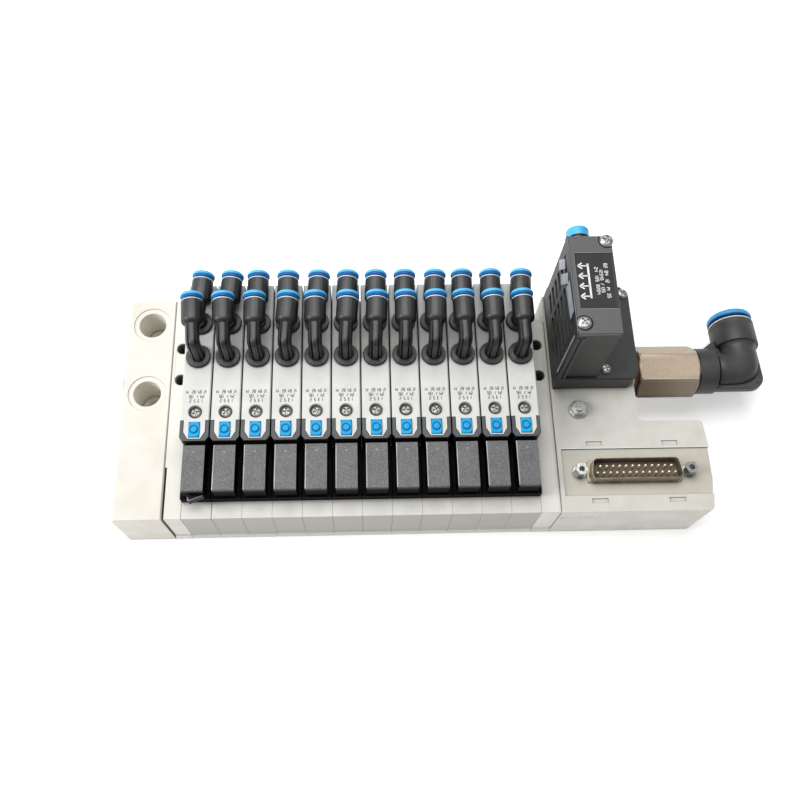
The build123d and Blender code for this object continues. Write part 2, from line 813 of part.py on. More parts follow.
# ---------------------------------------------------------------- supply adapter and elbow
supply_y = at(supply_place)
x_hex = x_supply_right + adapter_start
x_hex_end = x_hex + adapter_length
with BuildPart() as supply_adapter:
    with BuildSketch(Plane.YZ.offset(x_supply_right)):
        with Locations((supply_y, supply_height)):
            Circle(adapter_shank_radius)
    extrude(amount=-adapter_shank_length)
    with BuildSketch(Plane.YZ.offset(x_supply_right)):
        with Locations((supply_y, supply_height)):
            Circle(adapter_neck_radius)
    extrude(amount=adapter_start)
    with BuildSketch(Plane.YZ.offset(x_hex)):
        with Locations((supply_y, supply_height)):
            RegularPolygon(adapter_flats / 2, 6, major_radius=False, rotation=adapter_turn)
    extrude(amount=adapter_length)
    # both ends turned to a cone, which rounds the hexagon's corners
    with BuildSketch(Plane.XY.offset(supply_height)):
        with BuildLine():
            corner = adapter_flats / 2 / cos(radians(30))
            Polyline(
                (x_supply_right - adapter_shank_length, supply_y),
                (x_supply_right - adapter_shank_length, supply_y + adapter_flats / 2),
                (x_hex, supply_y + adapter_flats / 2),
                (x_hex + adapter_bevel, supply_y + corner + seat_clearance),
                (x_hex_end - adapter_bevel, supply_y + corner + seat_clearance),
                (x_hex_end, supply_y + adapter_flats / 2),
                (x_hex_end, supply_y),
                close=True,
            )
        make_face()
    revolve(axis=Axis((0, supply_y, supply_height), (1, 0, 0)), mode=Mode.INTERSECT)
    # spigot that the elbow turns on
    with BuildSketch(Plane.YZ.offset(x_hex_end)):
        with Locations((supply_y, supply_height)):
            Circle(spigot_radius)
    extrude(amount=spigot_length)
supply_adapter.part.label = "supply_adapter"
export_step(supply_adapter.part, "parts/supply_adapter.step")

# swivelling elbow: hub, mitred body and a tube socket tilted about the hub's axis
x_hub = x_hex_end + swivel_gap
x_leg = x_hub + leg_offset
leg_direction = Vector(0, cos(radians(leg_tilt)), sin(radians(leg_tilt)))
leg_side = Vector(0, -sin(radians(leg_tilt)), cos(radians(leg_tilt)))
leg_root = Vector(x_leg, supply_y, supply_height)
leg_plane = Plane(origin=leg_root, x_dir=(1, 0, 0), z_dir=leg_direction)
rib_plane = Plane(origin=leg_root, x_dir=(1, 0, 0), z_dir=leg_side)
leg_socket_end = leg_length - supply_ring_thickness - supply_ring_travel
with BuildPart() as supply_elbow:
    with BuildSketch(Plane.YZ.offset(x_hub)):
        with Locations((supply_y, supply_height)):
            Circle(hub_radius)
    extrude(amount=hub_length)
    bend_start = Vector(x_hub + hub_length, supply_y, supply_height)
    with BuildLine() as bend_path:
        Polyline(bend_start, leg_root, leg_root + leg_direction * leg_socket_start)
    with BuildSketch(Plane.YZ.offset(x_hub + hub_length)):
        with Locations((supply_y, supply_height)):
            Circle(elbow_radius)
    sweep(path=bend_path.line, transition=Transition.RIGHT)
    with BuildSketch(leg_plane.offset(leg_socket_start)):
        Circle(leg_socket_radius)
    extrude(amount=leg_socket_end - leg_socket_start)
    # flat rib round the outside of the bend and a web across its inside
    with BuildSketch(rib_plane.offset(-leg_rib / 2)) as rib_sketch:
        with BuildLine():
            Polyline(
                (hub_length - leg_offset, -leg_rib_foot),
                (leg_rib_reach, -leg_rib_foot),
                (leg_rib_reach, leg_socket_start + edge_break),
                (-leg_rib_reach, web_top),
                (-web_start, web_rise),
                (-web_start, 0),
                (hub_length - leg_offset, 0),
                close=True,
            )
        make_face()
        fillet(rib_sketch.vertices().group_by(Axis.X)[-1].sort_by(Axis.Y)[0], leg_rib_corner)
    extrude(amount=leg_rib)
    with BuildSketch(leg_plane.offset(leg_socket_end)):
        Circle(supply_bore_radius)
    extrude(amount=-supply_bore_depth, mode=Mode.SUBTRACT)
    with BuildSketch(leg_plane.offset(leg_socket_end)):
        Circle(supply_sleeve_radius + running_clearance)
    extrude(amount=-supply_sleeve_length, mode=Mode.SUBTRACT)
    with BuildSketch(Plane.YZ.offset(x_hub)):
        with Locations((supply_y, supply_height)):
            Circle(spigot_radius + running_clearance)
    extrude(amount=spigot_length, mode=Mode.SUBTRACT)
supply_elbow.part.label = "supply_elbow"
export_step(supply_elbow.part, "parts/supply_elbow.step")

with BuildPart() as supply_ring:
    with BuildSketch(leg_plane.offset(leg_socket_end + supply_ring_travel)):
        Circle(supply_ring_radius)
        Circle(supply_bore_radius + slide_clearance, mode=Mode.SUBTRACT)
    extrude(amount=supply_ring_thickness)
    # sleeve that slides in the socket's mouth, short of its floor by the travel and a clearance
    sleeve_reach = supply_sleeve_length - slide_clearance
    with BuildSketch(leg_plane.offset(leg_socket_end + supply_ring_travel)):
        Circle(supply_sleeve_radius)
        Circle(supply_bore_radius + slide_clearance, mode=Mode.SUBTRACT)
    extrude(amount=-sleeve_reach)
supply_ring.part.label = "supply_ring"
export_step(supply_ring.part, "parts/supply_ring.step")
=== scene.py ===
# Pneumatic valve island, built up in the order it is assembled: end plate, feed strips, sub-bases,
# valves and coils, push-in elbows, interface module with its plug, silencer tower, supply side.
import math

import bmesh
import bpy
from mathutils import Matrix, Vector


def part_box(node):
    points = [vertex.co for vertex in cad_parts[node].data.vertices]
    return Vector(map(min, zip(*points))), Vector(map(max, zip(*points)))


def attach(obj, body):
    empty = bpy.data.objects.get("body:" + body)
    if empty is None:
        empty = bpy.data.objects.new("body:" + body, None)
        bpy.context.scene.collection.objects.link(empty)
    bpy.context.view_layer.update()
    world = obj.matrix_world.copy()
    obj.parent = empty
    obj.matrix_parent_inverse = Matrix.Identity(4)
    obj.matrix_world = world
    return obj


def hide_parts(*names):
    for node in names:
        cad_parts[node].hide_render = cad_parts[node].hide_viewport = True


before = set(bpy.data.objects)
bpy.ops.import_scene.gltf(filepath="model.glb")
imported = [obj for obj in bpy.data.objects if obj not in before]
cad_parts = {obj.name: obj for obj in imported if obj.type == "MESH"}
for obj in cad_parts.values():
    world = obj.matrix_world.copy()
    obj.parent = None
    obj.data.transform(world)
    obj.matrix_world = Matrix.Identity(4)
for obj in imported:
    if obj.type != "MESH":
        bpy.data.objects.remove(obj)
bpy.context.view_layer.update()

MM = 0.001


# ------------------------------------------------------------------ end plate
# A thick moulding of ivory polyamide that closes the row on the left and carries two large ports.
# It is injection moulded and lightly spark-textured, so it looks warm, matt and slightly cloudy.
def linear(hex_colour):
    """An sRGB hex colour as linear red, green, blue and alpha."""
    values = [int(hex_colour[i:i + 2], 16) / 255 for i in (1, 3, 5)]
    return [v / 12.92 if v <= 0.04045 else ((v + 0.055) / 1.055) ** 2.4 for v in values] + [1.0]


def add(tree, kind, inputs=None, **settings):
    """Adds a node with its settings; inputs gives each socket a value or another node's output."""
    made = tree.nodes.new(kind)
    for key, value in settings.items():
        setattr(made, key, value)
    for socket, value in (inputs or {}).items():
        if isinstance(value, bpy.types.NodeSocket):
            tree.links.new(value, made.inputs[socket])
        else:
            made.inputs[socket].default_value = value
    return made


def upward(tree, low, high):
    """How far a surface faces up, as 0 to 1 between those two heights of its normal."""
    normal = add(tree, "ShaderNodeNewGeometry").outputs["Normal"]
    height = add(tree, "ShaderNodeSeparateXYZ", {"Vector": normal}).outputs["Z"]
    return add(tree, "ShaderNodeMapRange",
               {"Value": height, "From Min": low, "From Max": high}).outputs["Result"]


def above(tree, low, high):
    """How far a point has risen between two heights in metres, as 0 to 1."""
    point = add(tree, "ShaderNodeNewGeometry").outputs["Position"]
    height = add(tree, "ShaderNodeSeparateXYZ", {"Vector": point}).outputs["Z"]
    return add(tree, "ShaderNodeMapRange",
               {"Value": height, "From Min": low, "From Max": high}).outputs["Result"]


def recolour(material, factor, colour):
    """Blends a material's base colour towards another where that factor falls to 0."""
    tree, surface = material.node_tree, material.node_tree.nodes["Principled BSDF"]
    plain = surface.inputs["Base Color"].links[0].from_socket
    tree.links.new(blend(tree, factor, colour, plain), surface.inputs["Base Color"])


def blend(tree, factor, first, second):
    """One colour into another; either may be a node's output."""
    return add(tree, "ShaderNodeMix", {"Factor": factor, "A": first, "B": second},
               data_type="RGBA").outputs["Result"]


def moulded(name, colour, cloud, corner_shade, roughness, grain, grain_depth=0.15, ior=1.5, coat=0.0,
            side=None, fleck=None):
    """A moulded plastic: clouds of 9 mm, rub marks of 3 mm, dust of 0.45 mm, and painted shade that darkens its
    corners by ambient occlusion.
    Real spark-eroded grain is about 0.1 mm; grain is drawn at 0.25 to 0.5 mm so that it shows.
    side is a colour painted on faces that don't face up, painted shade that sets them apart from the tops; fleck is
    fine dust."""
    material = bpy.data.materials.new(name)
    material.use_nodes = True
    tree = material.node_tree
    surface = tree.nodes["Principled BSDF"]
    surface.inputs["IOR"].default_value = ior
    surface.inputs["Coat Weight"].default_value = coat
    surface.inputs["Coat Roughness"].default_value = 0.25
    place = add(tree, "ShaderNodeTexCoord").outputs["Object"]
    clouds = add(tree, "ShaderNodeTexNoise",
                 {"Vector": place, "Scale": 1 / (9 * MM), "Detail": 5.0}).outputs["Fac"]
    cloud_mix = add(tree, "ShaderNodeMapRange", {"Value": clouds, "From Min": 0.35, "From Max": 0.65})
    tint = blend(tree, cloud_mix.outputs["Result"], linear(colour), linear(cloud))
    if fleck:
        dust = add(tree, "ShaderNodeTexNoise",
                   {"Vector": place, "Scale": 1 / (0.45 * MM), "Detail": 3.0}).outputs["Fac"]
        dust_mix = add(tree, "ShaderNodeMapRange", {"Value": dust, "From Min": 0.45, "From Max": 0.72})
        tint = blend(tree, dust_mix.outputs["Result"], tint, linear(fleck))
    # Painted shade: faces that don't face up take the side colour.
    if side:
        tint = blend(tree, upward(tree, 0.3, 0.95), linear(side), tint)
    # Painted shade: in corners that ambient occlusion finds within 2.5 mm, the colour turns towards the fourth
    # colour.
    corner = add(tree, "ShaderNodeAmbientOcclusion", {"Distance": 2.5 * MM}, samples=8).outputs["AO"]
    corner_mix = add(tree, "ShaderNodeMapRange", {"Value": corner, "From Min": 0.35, "From Max": 0.85})
    corner_shaded = blend(tree, corner_mix.outputs["Result"], linear(corner_shade), tint)
    tree.links.new(corner_shaded, surface.inputs["Base Color"])
    rub = add(tree, "ShaderNodeTexNoise",
              {"Vector": place, "Scale": 1 / (3 * MM), "Detail": 3.0}).outputs["Fac"]
    rough = add(tree, "ShaderNodeMapRange",
                {"Value": rub, "To Min": roughness - 0.07, "To Max": roughness + 0.07})
    tree.links.new(rough.outputs["Result"], surface.inputs["Roughness"])
    spark = add(tree, "ShaderNodeTexNoise",
                {"Vector": place, "Scale": 1 / (grain * MM), "Detail": 2.0}).outputs["Fac"]
    bump = add(tree, "ShaderNodeBump", {"Height": spark, "Strength": grain_depth, "Distance": grain * MM * 0.3})
    tree.links.new(bump.outputs["Normal"], surface.inputs["Normal"])
    return material


def paint(node, material):
    """Gives a CAD node that material in every slot."""
    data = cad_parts[node].data
    if not data.materials:
        data.materials.append(material)
    for i in range(len(data.materials)):
        data.materials[i] = material


def ease(node, width):
    """Rounds a CAD node's edges by that many mm, as a mould or a cutter leaves them."""
    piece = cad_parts[node]
    weld = piece.modifiers.new("weld", "WELD")
    weld.merge_threshold = 0.005 * MM
    bevel = piece.modifiers.new("edge", "BEVEL")
    bevel.width = width * MM
    bevel.segments = 2
    bevel.limit_method = "ANGLE"
    bevel.angle_limit = math.radians(35)
    bevel.harden_normals = True
    bevel.use_clamp_overlap = True


# Spark-eroded ivory polyamide: warm, matt and faintly clouded, with painted yellow-brown shade in its corners.
ivory_polyamide = moulded("ivory_polyamide_moulded", "#dad6cd", "#d3cfc4", "#8d8874", 0.55, 0.5)
paint("end_plate", ivory_polyamide)
ease("end_plate", 0.35)
end_low, end_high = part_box("end_plate")


def back(place):
    """Y of a place that many mm behind the base's front face."""
    return end_low.y + place * MM


# ------------------------------------------------------------------ blanking plug
# A milky polyamide plug pressed into the spare port on the end plate's left face.
# It is turned from rod, so it is smooth and lets a little light in at its rim.
def mesh_piece(name, vertices, faces, material, body="island", smooth=32):
    """A closed mesh piece in the row frame, smooth except across edges sharper than that angle."""
    mesh = bpy.data.meshes.new(name)
    mesh.from_pydata([tuple(v) for v in vertices], [], faces)
    shell = bmesh.new()
    shell.from_mesh(mesh)
    bmesh.ops.recalc_face_normals(shell, faces=shell.faces)
    shell.to_mesh(mesh)
    shell.free()
    mesh.shade_smooth()
    mesh.set_sharp_from_angle(angle=math.radians(smooth))
    mesh.materials.append(material)
    piece = bpy.data.objects.new(name, mesh)
    bpy.context.collection.objects.link(piece)
    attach(piece, body)
    return piece


def skin(rings):
    """Vertices and faces of a closed skin through rings of equally many points, capped at both ends."""
    count = len(rings[0])
    vertices = [point for ring in rings for point in ring]
    faces = []
    for r in range(len(rings) - 1):
        for k in range(count):
            a, b = r * count + k, r * count + (k + 1) % count
            faces.append((a, b, b + count, a + count))
    faces.append(tuple(range(count)))
    faces.append(tuple(range((len(rings) - 1) * count, len(rings) * count)))
    return vertices, faces


def around(axis):
    """Two directions square to an axis and to each other."""
    axis = Vector(axis).normalized()
    side = Vector((1, 0, 0)) if abs(axis.x) < 0.9 else Vector((0, 1, 0))
    u = (side - axis * side.dot(axis)).normalized()
    return u, axis.cross(u)


def turns(count):
    """That many angles, evenly round a full turn."""
    return [2 * math.pi * k / count for k in range(count)]


def circle(foot, axis, radius, height, sides):
    """Points of a circle round an axis, with radius and height above foot in mm."""
    u, v = around(axis)
    centre = Vector(foot) + Vector(axis).normalized() * height * MM
    return [centre + (u * math.cos(t) + v * math.sin(t)) * radius * MM for t in turns(sides)]


def turned(name, profile, foot, axis, material, body="island", sides=48, smooth=32):
    """A turned piece: profile is radius and height pairs in mm, height measured from foot along axis.
    A profile that comes back down inside makes a bore."""
    rings = [circle(foot, axis, max(radius, 0.004), height, sides) for radius, height in profile]
    return mesh_piece(name, *skin(rings), material, body, smooth)


# Turned milky polyamide: smoother and colder than the plate, with a thin gloss over it.
milky_plug = moulded("milky_polyamide_turned", "#d3d6d4", "#c6cac8", "#8b9090", 0.3, 0.3, 0.05, coat=0.3)
plug_low, plug_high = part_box("end_plug")
plug_centre = Vector((end_low.x, (plug_low.y + plug_high.y) / 2, (plug_low.z + plug_high.z) / 2))
# Radius and height in mm: shank, rounded head, raised rim and the shallow dish inside it.
PLUG_PROFILE = [(0, -2.4), (5.3, -2.4), (5.3, 0.0), (6.6, 0.0), (6.95, 0.35), (6.95, 1.2), (6.5, 1.9),
                (5.2, 2.5), (4.4, 2.65), (4.1, 2.3), (3.8, 2.2), (1.5, 2.45), (0, 2.5)]
plug = turned("end_plug_cap", PLUG_PROFILE, plug_centre, (-1, 0, 0), milky_plug)
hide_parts("end_plug")


# ------------------------------------------------------------------ feed strips and sub-bases
# Two narrow feed strips and twelve sub-bases, each a separate moulding of light warm-grey polymer.
# Rods inside pull them together over thin gaskets, and their front faces carry painted shade, darker than their
# tops.
def ring_mesh(name, profile, foot, axis, material, body="island", sides=48):
    """A turned ring: profile is a closed loop of radius and height pairs in mm, open in its middle."""
    vertices, faces = [], []
    for radius, height in profile:
        vertices += circle(foot, axis, radius, height, sides)
    count = len(profile)
    for r in range(count):
        for k in range(sides):
            a, b = r * sides + k, r * sides + (k + 1) % sides
            c, d = ((r + 1) % count) * sides + (k + 1) % sides, ((r + 1) % count) * sides + k
            faces.append((a, b, c, d))
    return mesh_piece(name, vertices, faces, material, body, 35)


def block_faces(n):
    """The six faces of a block whose eight corners start at vertex n, lower four first."""
    return [(n, n + 3, n + 2, n + 1), (n + 4, n + 5, n + 6, n + 7), (n, n + 1, n + 5, n + 4),
            (n + 1, n + 2, n + 6, n + 5), (n + 2, n + 3, n + 7, n + 6), (n + 3, n, n + 4, n + 7)]


def slabs(name, boxes, material, body="island"):
    """One mesh of thin slabs, each from its low to its high corner in metres."""
    vertices, faces = [], []
    for low, high in boxes:
        faces += block_faces(len(vertices))
        vertices += [(x, y, z) for z in (low[2], high[2]) for x, y in
                     ((low[0], low[1]), (high[0], low[1]), (high[0], high[1]), (low[0], high[1]))]
    return mesh_piece(name, vertices, faces, material, body)


STATIONS = 12
SEAM = 0.12 * MM
MOUNT_PLACES = (63.2, 78.2)
LEDGE_TOP = 5.8 * MM
# Light warm-grey polymer, spark-eroded: matt and nearly neutral, lighter than the plate's shadows.
warm_grey = moulded("warm_grey_polymer_moulded", "#d9d7cf", "#d2d0c8", "#8d8b84", 0.52, 0.45)
# The same polymer on the sub-bases, with painted shade on their upright faces, darker than their tops.
base_grey = moulded("warm_grey_polymer_shaded_fronts", "#d8d6d0", "#cfcdc6", "#96948c", 0.55, 0.45,
                    side="#a7a59f")
paint("feed_plates", warm_grey)
ease("feed_plates", 0.22)
# Below the ledge top the colour goes back to a light grey, so the painted shade stops at the ledge.
recolour(base_grey, above(base_grey.node_tree, LEDGE_TOP - 0.3 * MM, LEDGE_TOP), linear("#d2d1cb"))
paint("sub_bases", base_grey)
ease("sub_bases", 0.12)
strips_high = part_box("feed_plates")[1]
bases_low, bases_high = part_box("sub_bases")
deck = bases_high.z
pitch = (bases_high.x - bases_low.x + SEAM) / STATIONS
station_x = [bases_low.x - SEAM / 2 + pitch * (i + 0.5) for i in range(STATIONS)]
# Moulded grey rubber in the seams: dull, a shade darker than the polymer on either side.
gasket_rubber = moulded("grey_gasket_rubber", "#a9a7a0", "#9d9b94", "#75736d", 0.7, 0.3)
slabs("sub_base_gaskets",
      [((x + pitch / 2 - 0.05 * MM, bases_low.y + 0.65 * MM, 1 * MM),
        (x + pitch / 2 + 0.05 * MM, bases_high.y - 0.5 * MM, deck - 0.1 * MM)) for x in station_x[:-1]],
      gasket_rubber)
# A dark sleeve lining each mounting hole, with a dull dark rim: painted shade that darkens the hole.
hole_shade_lining = moulded("hole_lining_painted_shade", "#77756e", "#66645e", "#2f2e2a", 0.5, 0.3)
for side, x in (("left", (end_high.x + bases_low.x) / 2), ("right", (bases_high.x + strips_high.x) / 2)):
    for k, place in enumerate(MOUNT_PLACES, start=1):
        ring_mesh(f"mounting_hole_shade_{side}_{k}",
                  [(2.58, -30), (2.58, -0.25), (2.45, -0.2), (2.2, -0.5), (2.2, -30)],
                  (x, back(place), deck), (0, 0, 1), hole_shade_lining, sides=40)
# Oily dust pressed out of the first seam: a flat, dull dark-grey line.
dirt = moulded("oily_dust", "#7c7a74", "#8f8d86", "#55534e", 0.6, 0.4)
seam_x = station_x[0] + pitch / 2
slabs("seam_smudge",
      [((seam_x - 0.22 * MM, back(0.6), deck - 0.2 * MM), (seam_x + 0.16 * MM, back(7.4), deck + 0.03 * MM)),
       ((seam_x - 0.2 * MM, back(0.45), deck - 13 * MM), (seam_x + 0.14 * MM, back(0.62), deck))], dirt)


# ------------------------------------------------------------------ valve bodies
# Twelve slim valve bodies in silver-white filled polymer, screwed down side by side.
# Port numbers are pad-printed in dark ink behind each screw, to be read from the back.
def strokes(name, lines, origin, across, up, material, lift=0.03, body="island"):
    """Printed strokes as thin raised bars: each line is x, y, x, y and width in mm on a plane at origin."""
    across, up = Vector(across).normalized(), Vector(up).normalized()
    normal = across.cross(up)
    vertices, faces = [], []
    for x1, y1, x2, y2, width in lines:
        run = Vector((x2 - x1, y2 - y1)).normalized()
        off = Vector((-run.y, run.x)) * width / 2
        start, end = Vector((x1, y1)), Vector((x2, y2))
        faces += block_faces(len(vertices))
        for height in (-0.02, lift):
            vertices += [Vector(origin) + (across * p.x + up * p.y + normal * height) * MM
                         for p in (start + off, end + off, end - off, start - off)]
    return mesh_piece(name, vertices, faces, material, body)


def numerals(text, x, y, height, advance, width):
    """Strokes of a line of plain numerals centred on x, y, each numeral made of straight bars."""
    w, h = advance * 0.62, height
    bars = {"a": (0, h, w, h), "b": (w, h, w, h / 2), "c": (w, h / 2, w, 0), "d": (0, 0, w, 0),
            "e": (0, 0, 0, h / 2), "f": (0, h / 2, 0, h), "g": (0, h / 2, w, h / 2), "s": (0, 0, w, h)}
    shapes = {"1": "bc", "2": "abged", "3": "abgcd", "4": "fgbc", "5": "afgcd", "8": "abcdefg",
              "/": "s", " ": ""}
    left = x - advance * len(text) / 2
    lines = []
    for k, sign in enumerate(text):
        for bar in shapes[sign]:
            x1, y1, x2, y2 = bars[bar]
            lines.append((left + k * advance + x1, y - h / 2 + y1,
                          left + k * advance + x2, y - h / 2 + y2, width))
    return lines


# Silver-white filled polymer: cooler and finer than the bases, with an even, dry sheen.
silver_polymer = moulded("silver_polymer_moulded", "#cfd0cc", "#c6c7c3", "#7d7c78", 0.5, 0.35, 0.1)
paint("valve_bodies", silver_polymer)
ease("valve_bodies", 0.12)
valve_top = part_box("valve_bodies")[1].z
PRINT_PLACE = 51.0
# Dark pad-printing ink: thin, matt and slightly brown against the silver.
dark_ink = moulded("dark_pad_print_ink", "#3b3a38", "#45443f", "#2a2a28", 0.6, 0.3, 0.05)
PORTS = (numerals("12 84 82 14", 0, 0, 1.35, 0.82, 0.2) + numerals("24 / 135", 0, 2.1, 1.35, 0.8, 0.24)
         + numerals("1 3 5 2", -0.1, 4.1, 1.35, 0.84, 0.24))
for i, x in enumerate(station_x, start=1):
    strokes(f"port_numbers_{i:02d}", PORTS, (x, back(PRINT_PLACE), valve_top), (-1, 0, 0), (0, -1, 0), dark_ink)


# ------------------------------------------------------------------ pilot interfaces and coils
# Black glass-filled nylon: a forked pilot interface round each valve nose and a coil in front of it.
# Upper faces are painted a lighter grey as light falls on them, with dust flecks on the coils; sides and gaps carry
# black painted shade, and a painted highlight runs along one long edge.
# Glass-filled nylon, moulded: black, with a low, slightly blue sheen painted on its upper faces as a lighter
# colour, and painted shade on its sides.
interface_nylon = moulded("interface_nylon_moulded", "#3c4042", "#34383a", "#0c0d0e", 0.45, 0.4, 0.2,
                          side="#151617")
paint("pilot_interfaces", interface_nylon)
ease("pilot_interfaces", 0.3)
# The coils' nylon: dust flecks and painted light make the tops a speckled mid-grey, over sides that carry black
# painted shade.
coil_nylon = moulded("coil_nylon_dust_and_painted_light", "#565657", "#4a4a4b", "#08090a", 0.5, 0.45, 0.35, side="#0a0a0b",
                     fleck="#77777a")
paint("solenoid_coils", coil_nylon)
ease("solenoid_coils", 0.25)
coil_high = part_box("solenoid_coils")[1]
COIL_HALF = 4.53
coil_back, coil_front = back(28.0), back(8.9)
# Painted shade: more than about 1.2 mm below the coil tops, the colour turns black.
raised = above(coil_nylon.node_tree, coil_high.z - 1.2 * MM, coil_high.z - 0.5 * MM)
recolour(coil_nylon, raised, linear("#070708"))
sheen = add(coil_nylon.node_tree, "ShaderNodeMapRange", {"Value": raised, "To Min": 0.04, "To Max": 0.5})
coil_nylon.node_tree.links.new(sheen.outputs["Result"],
                               coil_nylon.node_tree.nodes["Principled BSDF"].inputs["Specular IOR Level"])
# A pale grey: a painted highlight along each coil's left top edge, and also the pale marks on the coil tops and the
# pale torn edges of the broken tab.
pale_marks_and_highlight = moulded("nylon_pale_marks_and_painted_highlight", "#b9bab9", "#8d8e8e", "#3a3a3a", 0.45, 0.25)
for i, x in enumerate(station_x, start=1):
    # Painted highlight: a thin pale slab along the left top edge of every coil but the first.
    if i > 1:
        slabs(f"coil_edge_highlight_{i:02d}", [((x - COIL_HALF * MM, coil_front, coil_high.z - 0.4 * MM),
                                      (x - (COIL_HALF - 0.35) * MM, coil_back, coil_high.z + 0.03 * MM))],
              pale_marks_and_highlight)
    strokes(f"coil_mark_{i:02d}",
            [(-0.45, 0.5, 0, -0.35, 0.16), (0, -0.35, 0.45, 0.5, 0.16), (-0.2, 0.5, 0.2, 0.5, 0.14)],
            (x, back(24.9), coil_high.z), (1, 0, 0), (0, 1, 0), pale_marks_and_highlight)
# Freshly broken nylon: rougher and blacker than the moulded skin, with pale torn edges.
broken_nylon = moulded("coil_nylon_broken", "#161618", "#202022", "#060606", 0.55, 0.3, 0.4)
tab_centre = Vector((station_x[0] + 0.8 * MM, back(7.6), deck + 7.2 * MM))
tab_run, tab_up = Vector((0.93, 0.33, 0.1)).normalized(), Vector((-0.2, 0.35, 0.9)).normalized()
tab_across = tab_run.cross(tab_up).normalized()
for name, middle, half, finish in (("broken_tab", (0, 0, 0), (3.2, 1.3, 1.1), broken_nylon),
                                   ("broken_tab_top_edge", (0, -1.2, 1.1), (3.2, 0.2, 0.12), pale_marks_and_highlight),
                                   ("broken_tab_low_edge", (0, 1.25, 1.1), (3.1, 0.1, 0.1), pale_marks_and_highlight),
                                   ("broken_tab_end_edge", (-3.05, 0, 1.1), (0.25, 1.25, 0.12), pale_marks_and_highlight)):
    corners = [tab_centre + (tab_run * (middle[0] + a * half[0]) + tab_across * (middle[1] + b * half[1])
                             + tab_up * (middle[2] + c * half[2])) * MM
               for c in (-1, 1) for a, b in ((-1, -1), (1, -1), (1, 1), (-1, 1))]
    mesh_piece(name, corners, block_faces(0), finish)


# ------------------------------------------------------------------ valve screws
# Zinc-plated steel screws with a crossed slot, sunk into each valve body just behind its nose.
# The plating is dull and cloudy, and the sunk seat round each head is moulded smooth.
def metal(name, colour, stain, roughness, scratch, metallic=1.0, blotch=4.0, side=None):
    """A bare or plated metal: blotches of that many mm, and scratches scratch mm apart.
    Real scratches are finer than 0.1 mm; they are drawn 0.2 to 0.3 mm apart so that they show."""
    material = bpy.data.materials.new(name)
    material.use_nodes = True
    tree = material.node_tree
    surface = tree.nodes["Principled BSDF"]
    surface.inputs["Metallic"].default_value = metallic
    place = add(tree, "ShaderNodeTexCoord").outputs["Object"]
    spots = add(tree, "ShaderNodeTexNoise", {"Vector": place, "Scale": 1 / (blotch * MM), "Detail": 6.0,
                                             "Roughness": 0.6}).outputs["Fac"]
    spot_mix = add(tree, "ShaderNodeMapRange", {"Value": spots, "From Min": 0.42, "From Max": 0.72})
    tint = blend(tree, spot_mix.outputs["Result"], linear(colour), linear(stain))
    # Painted shade: faces that don't face up take the side colour.
    if side:
        tint = blend(tree, upward(tree, 0.1, 0.75), linear(side), tint)
    tree.links.new(tint, surface.inputs["Base Color"])
    rough = add(tree, "ShaderNodeMapRange",
                {"Value": spots, "To Min": roughness - 0.08, "To Max": roughness + 0.1})
    tree.links.new(rough.outputs["Result"], surface.inputs["Roughness"])
    lines = add(tree, "ShaderNodeTexNoise",
                {"Vector": place, "Scale": 1 / (scratch * MM), "Detail": 3.0}).outputs["Fac"]
    bump = add(tree, "ShaderNodeBump", {"Height": lines, "Strength": 0.12, "Distance": scratch * MM * 0.2})
    tree.links.new(bump.outputs["Normal"], surface.inputs["Normal"])
    return material


def pan_screw(name, radius, height, foot, material, turn):
    """A domed screw head with a crossed slot, cut as four deep grooves; its steps are parts of its size."""
    steps = [(1.0, 0.0), (1.0, 0.3), (0.97, 0.5), (0.9, 0.72), (0.76, 0.9), (0.64, 0.98), (0.56, 1.0),
             (0.46, 1.0), (0.34, 1.0), (0.22, 1.0), (0.1, 1.0)]
    rings = []
    for r, z in steps:
        ring = []
        for t in turns(64):
            across = min(abs(math.sin(t - turn)), abs(math.cos(t - turn))) * r
            sunk = 0.5 if r < 0.6 and across < 0.13 else 0.0
            ring.append(Vector(foot) + Vector((r * radius * math.cos(t), r * radius * math.sin(t),
                                               (z - sunk) * height)) * MM)
        rings.append(ring)
    return mesh_piece(name, *skin(rings), material, smooth=40)


# Bright zinc plating on steel: light, blotchy and softly mirrored.
zinc_steel = metal("zinc_plated_steel", "#c9cac8", "#8f908d", 0.36, 0.3, 0.85, 1.2)
# The valve screws' zinc, handled and tarnished: a darker, browner and duller grey.
dull_zinc = metal("zinc_plated_steel_dull", "#a9a59d", "#6f6c66", 0.45, 0.25, 0.8, 0.8)
screws_low, screws_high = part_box("valve_screws")
screw_y = (screws_low.y + screws_high.y) / 2
SCREW_RADIUS, SCREW_HEIGHT = 2.35, 1.5
# Radius and height in mm: the raised lip round the sunk hole, and the hole's wall down to its floor.
SEAT_PROFILE = [(3.32, -0.1), (3.32, 0.04), (3.05, 0.04), (2.75, -0.5), (2.6, -2.1), (3.1, -2.1)]
for i, x in enumerate(station_x, start=1):
    head = pan_screw(f"valve_screw_{i:02d}", SCREW_RADIUS, SCREW_HEIGHT, (x, screw_y, screws_low.z), dull_zinc,
                     turn=0.4 * i)
    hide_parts("valve_screws")
    ring_mesh(f"screw_seat_{i:02d}", SEAT_PROFILE, (x, screw_y, valve_top), (0, 0, 1), silver_polymer)


# ------------------------------------------------------------------ manual overrides
# Bright blue acetal buttons in the valve noses; pressed down with a tool to switch a valve by hand.
# Each is a rounded pad with a sunk ring round its domed middle, smooth from the mould.
# Bright blue acetal: saturated and smooth, with hardly any gloss of its own.
blue_acetal = moulded("blue_acetal_moulded", "#009fd6", "#0094cd", "#0066a0", 0.45, 0.3, 0.05, ior=1.35)


def pad(half_x, half_y, power, height):
    """A rounded rectangle of points round the origin, in mm; a higher power gives squarer corners."""
    points = []
    for t in turns(48):
        c, s = math.cos(t), math.sin(t)
        reach = (abs(c / half_x) ** power + abs(s / half_y) ** power) ** (-1 / power)
        points.append(Vector((reach * c, reach * s, height)))
    return points


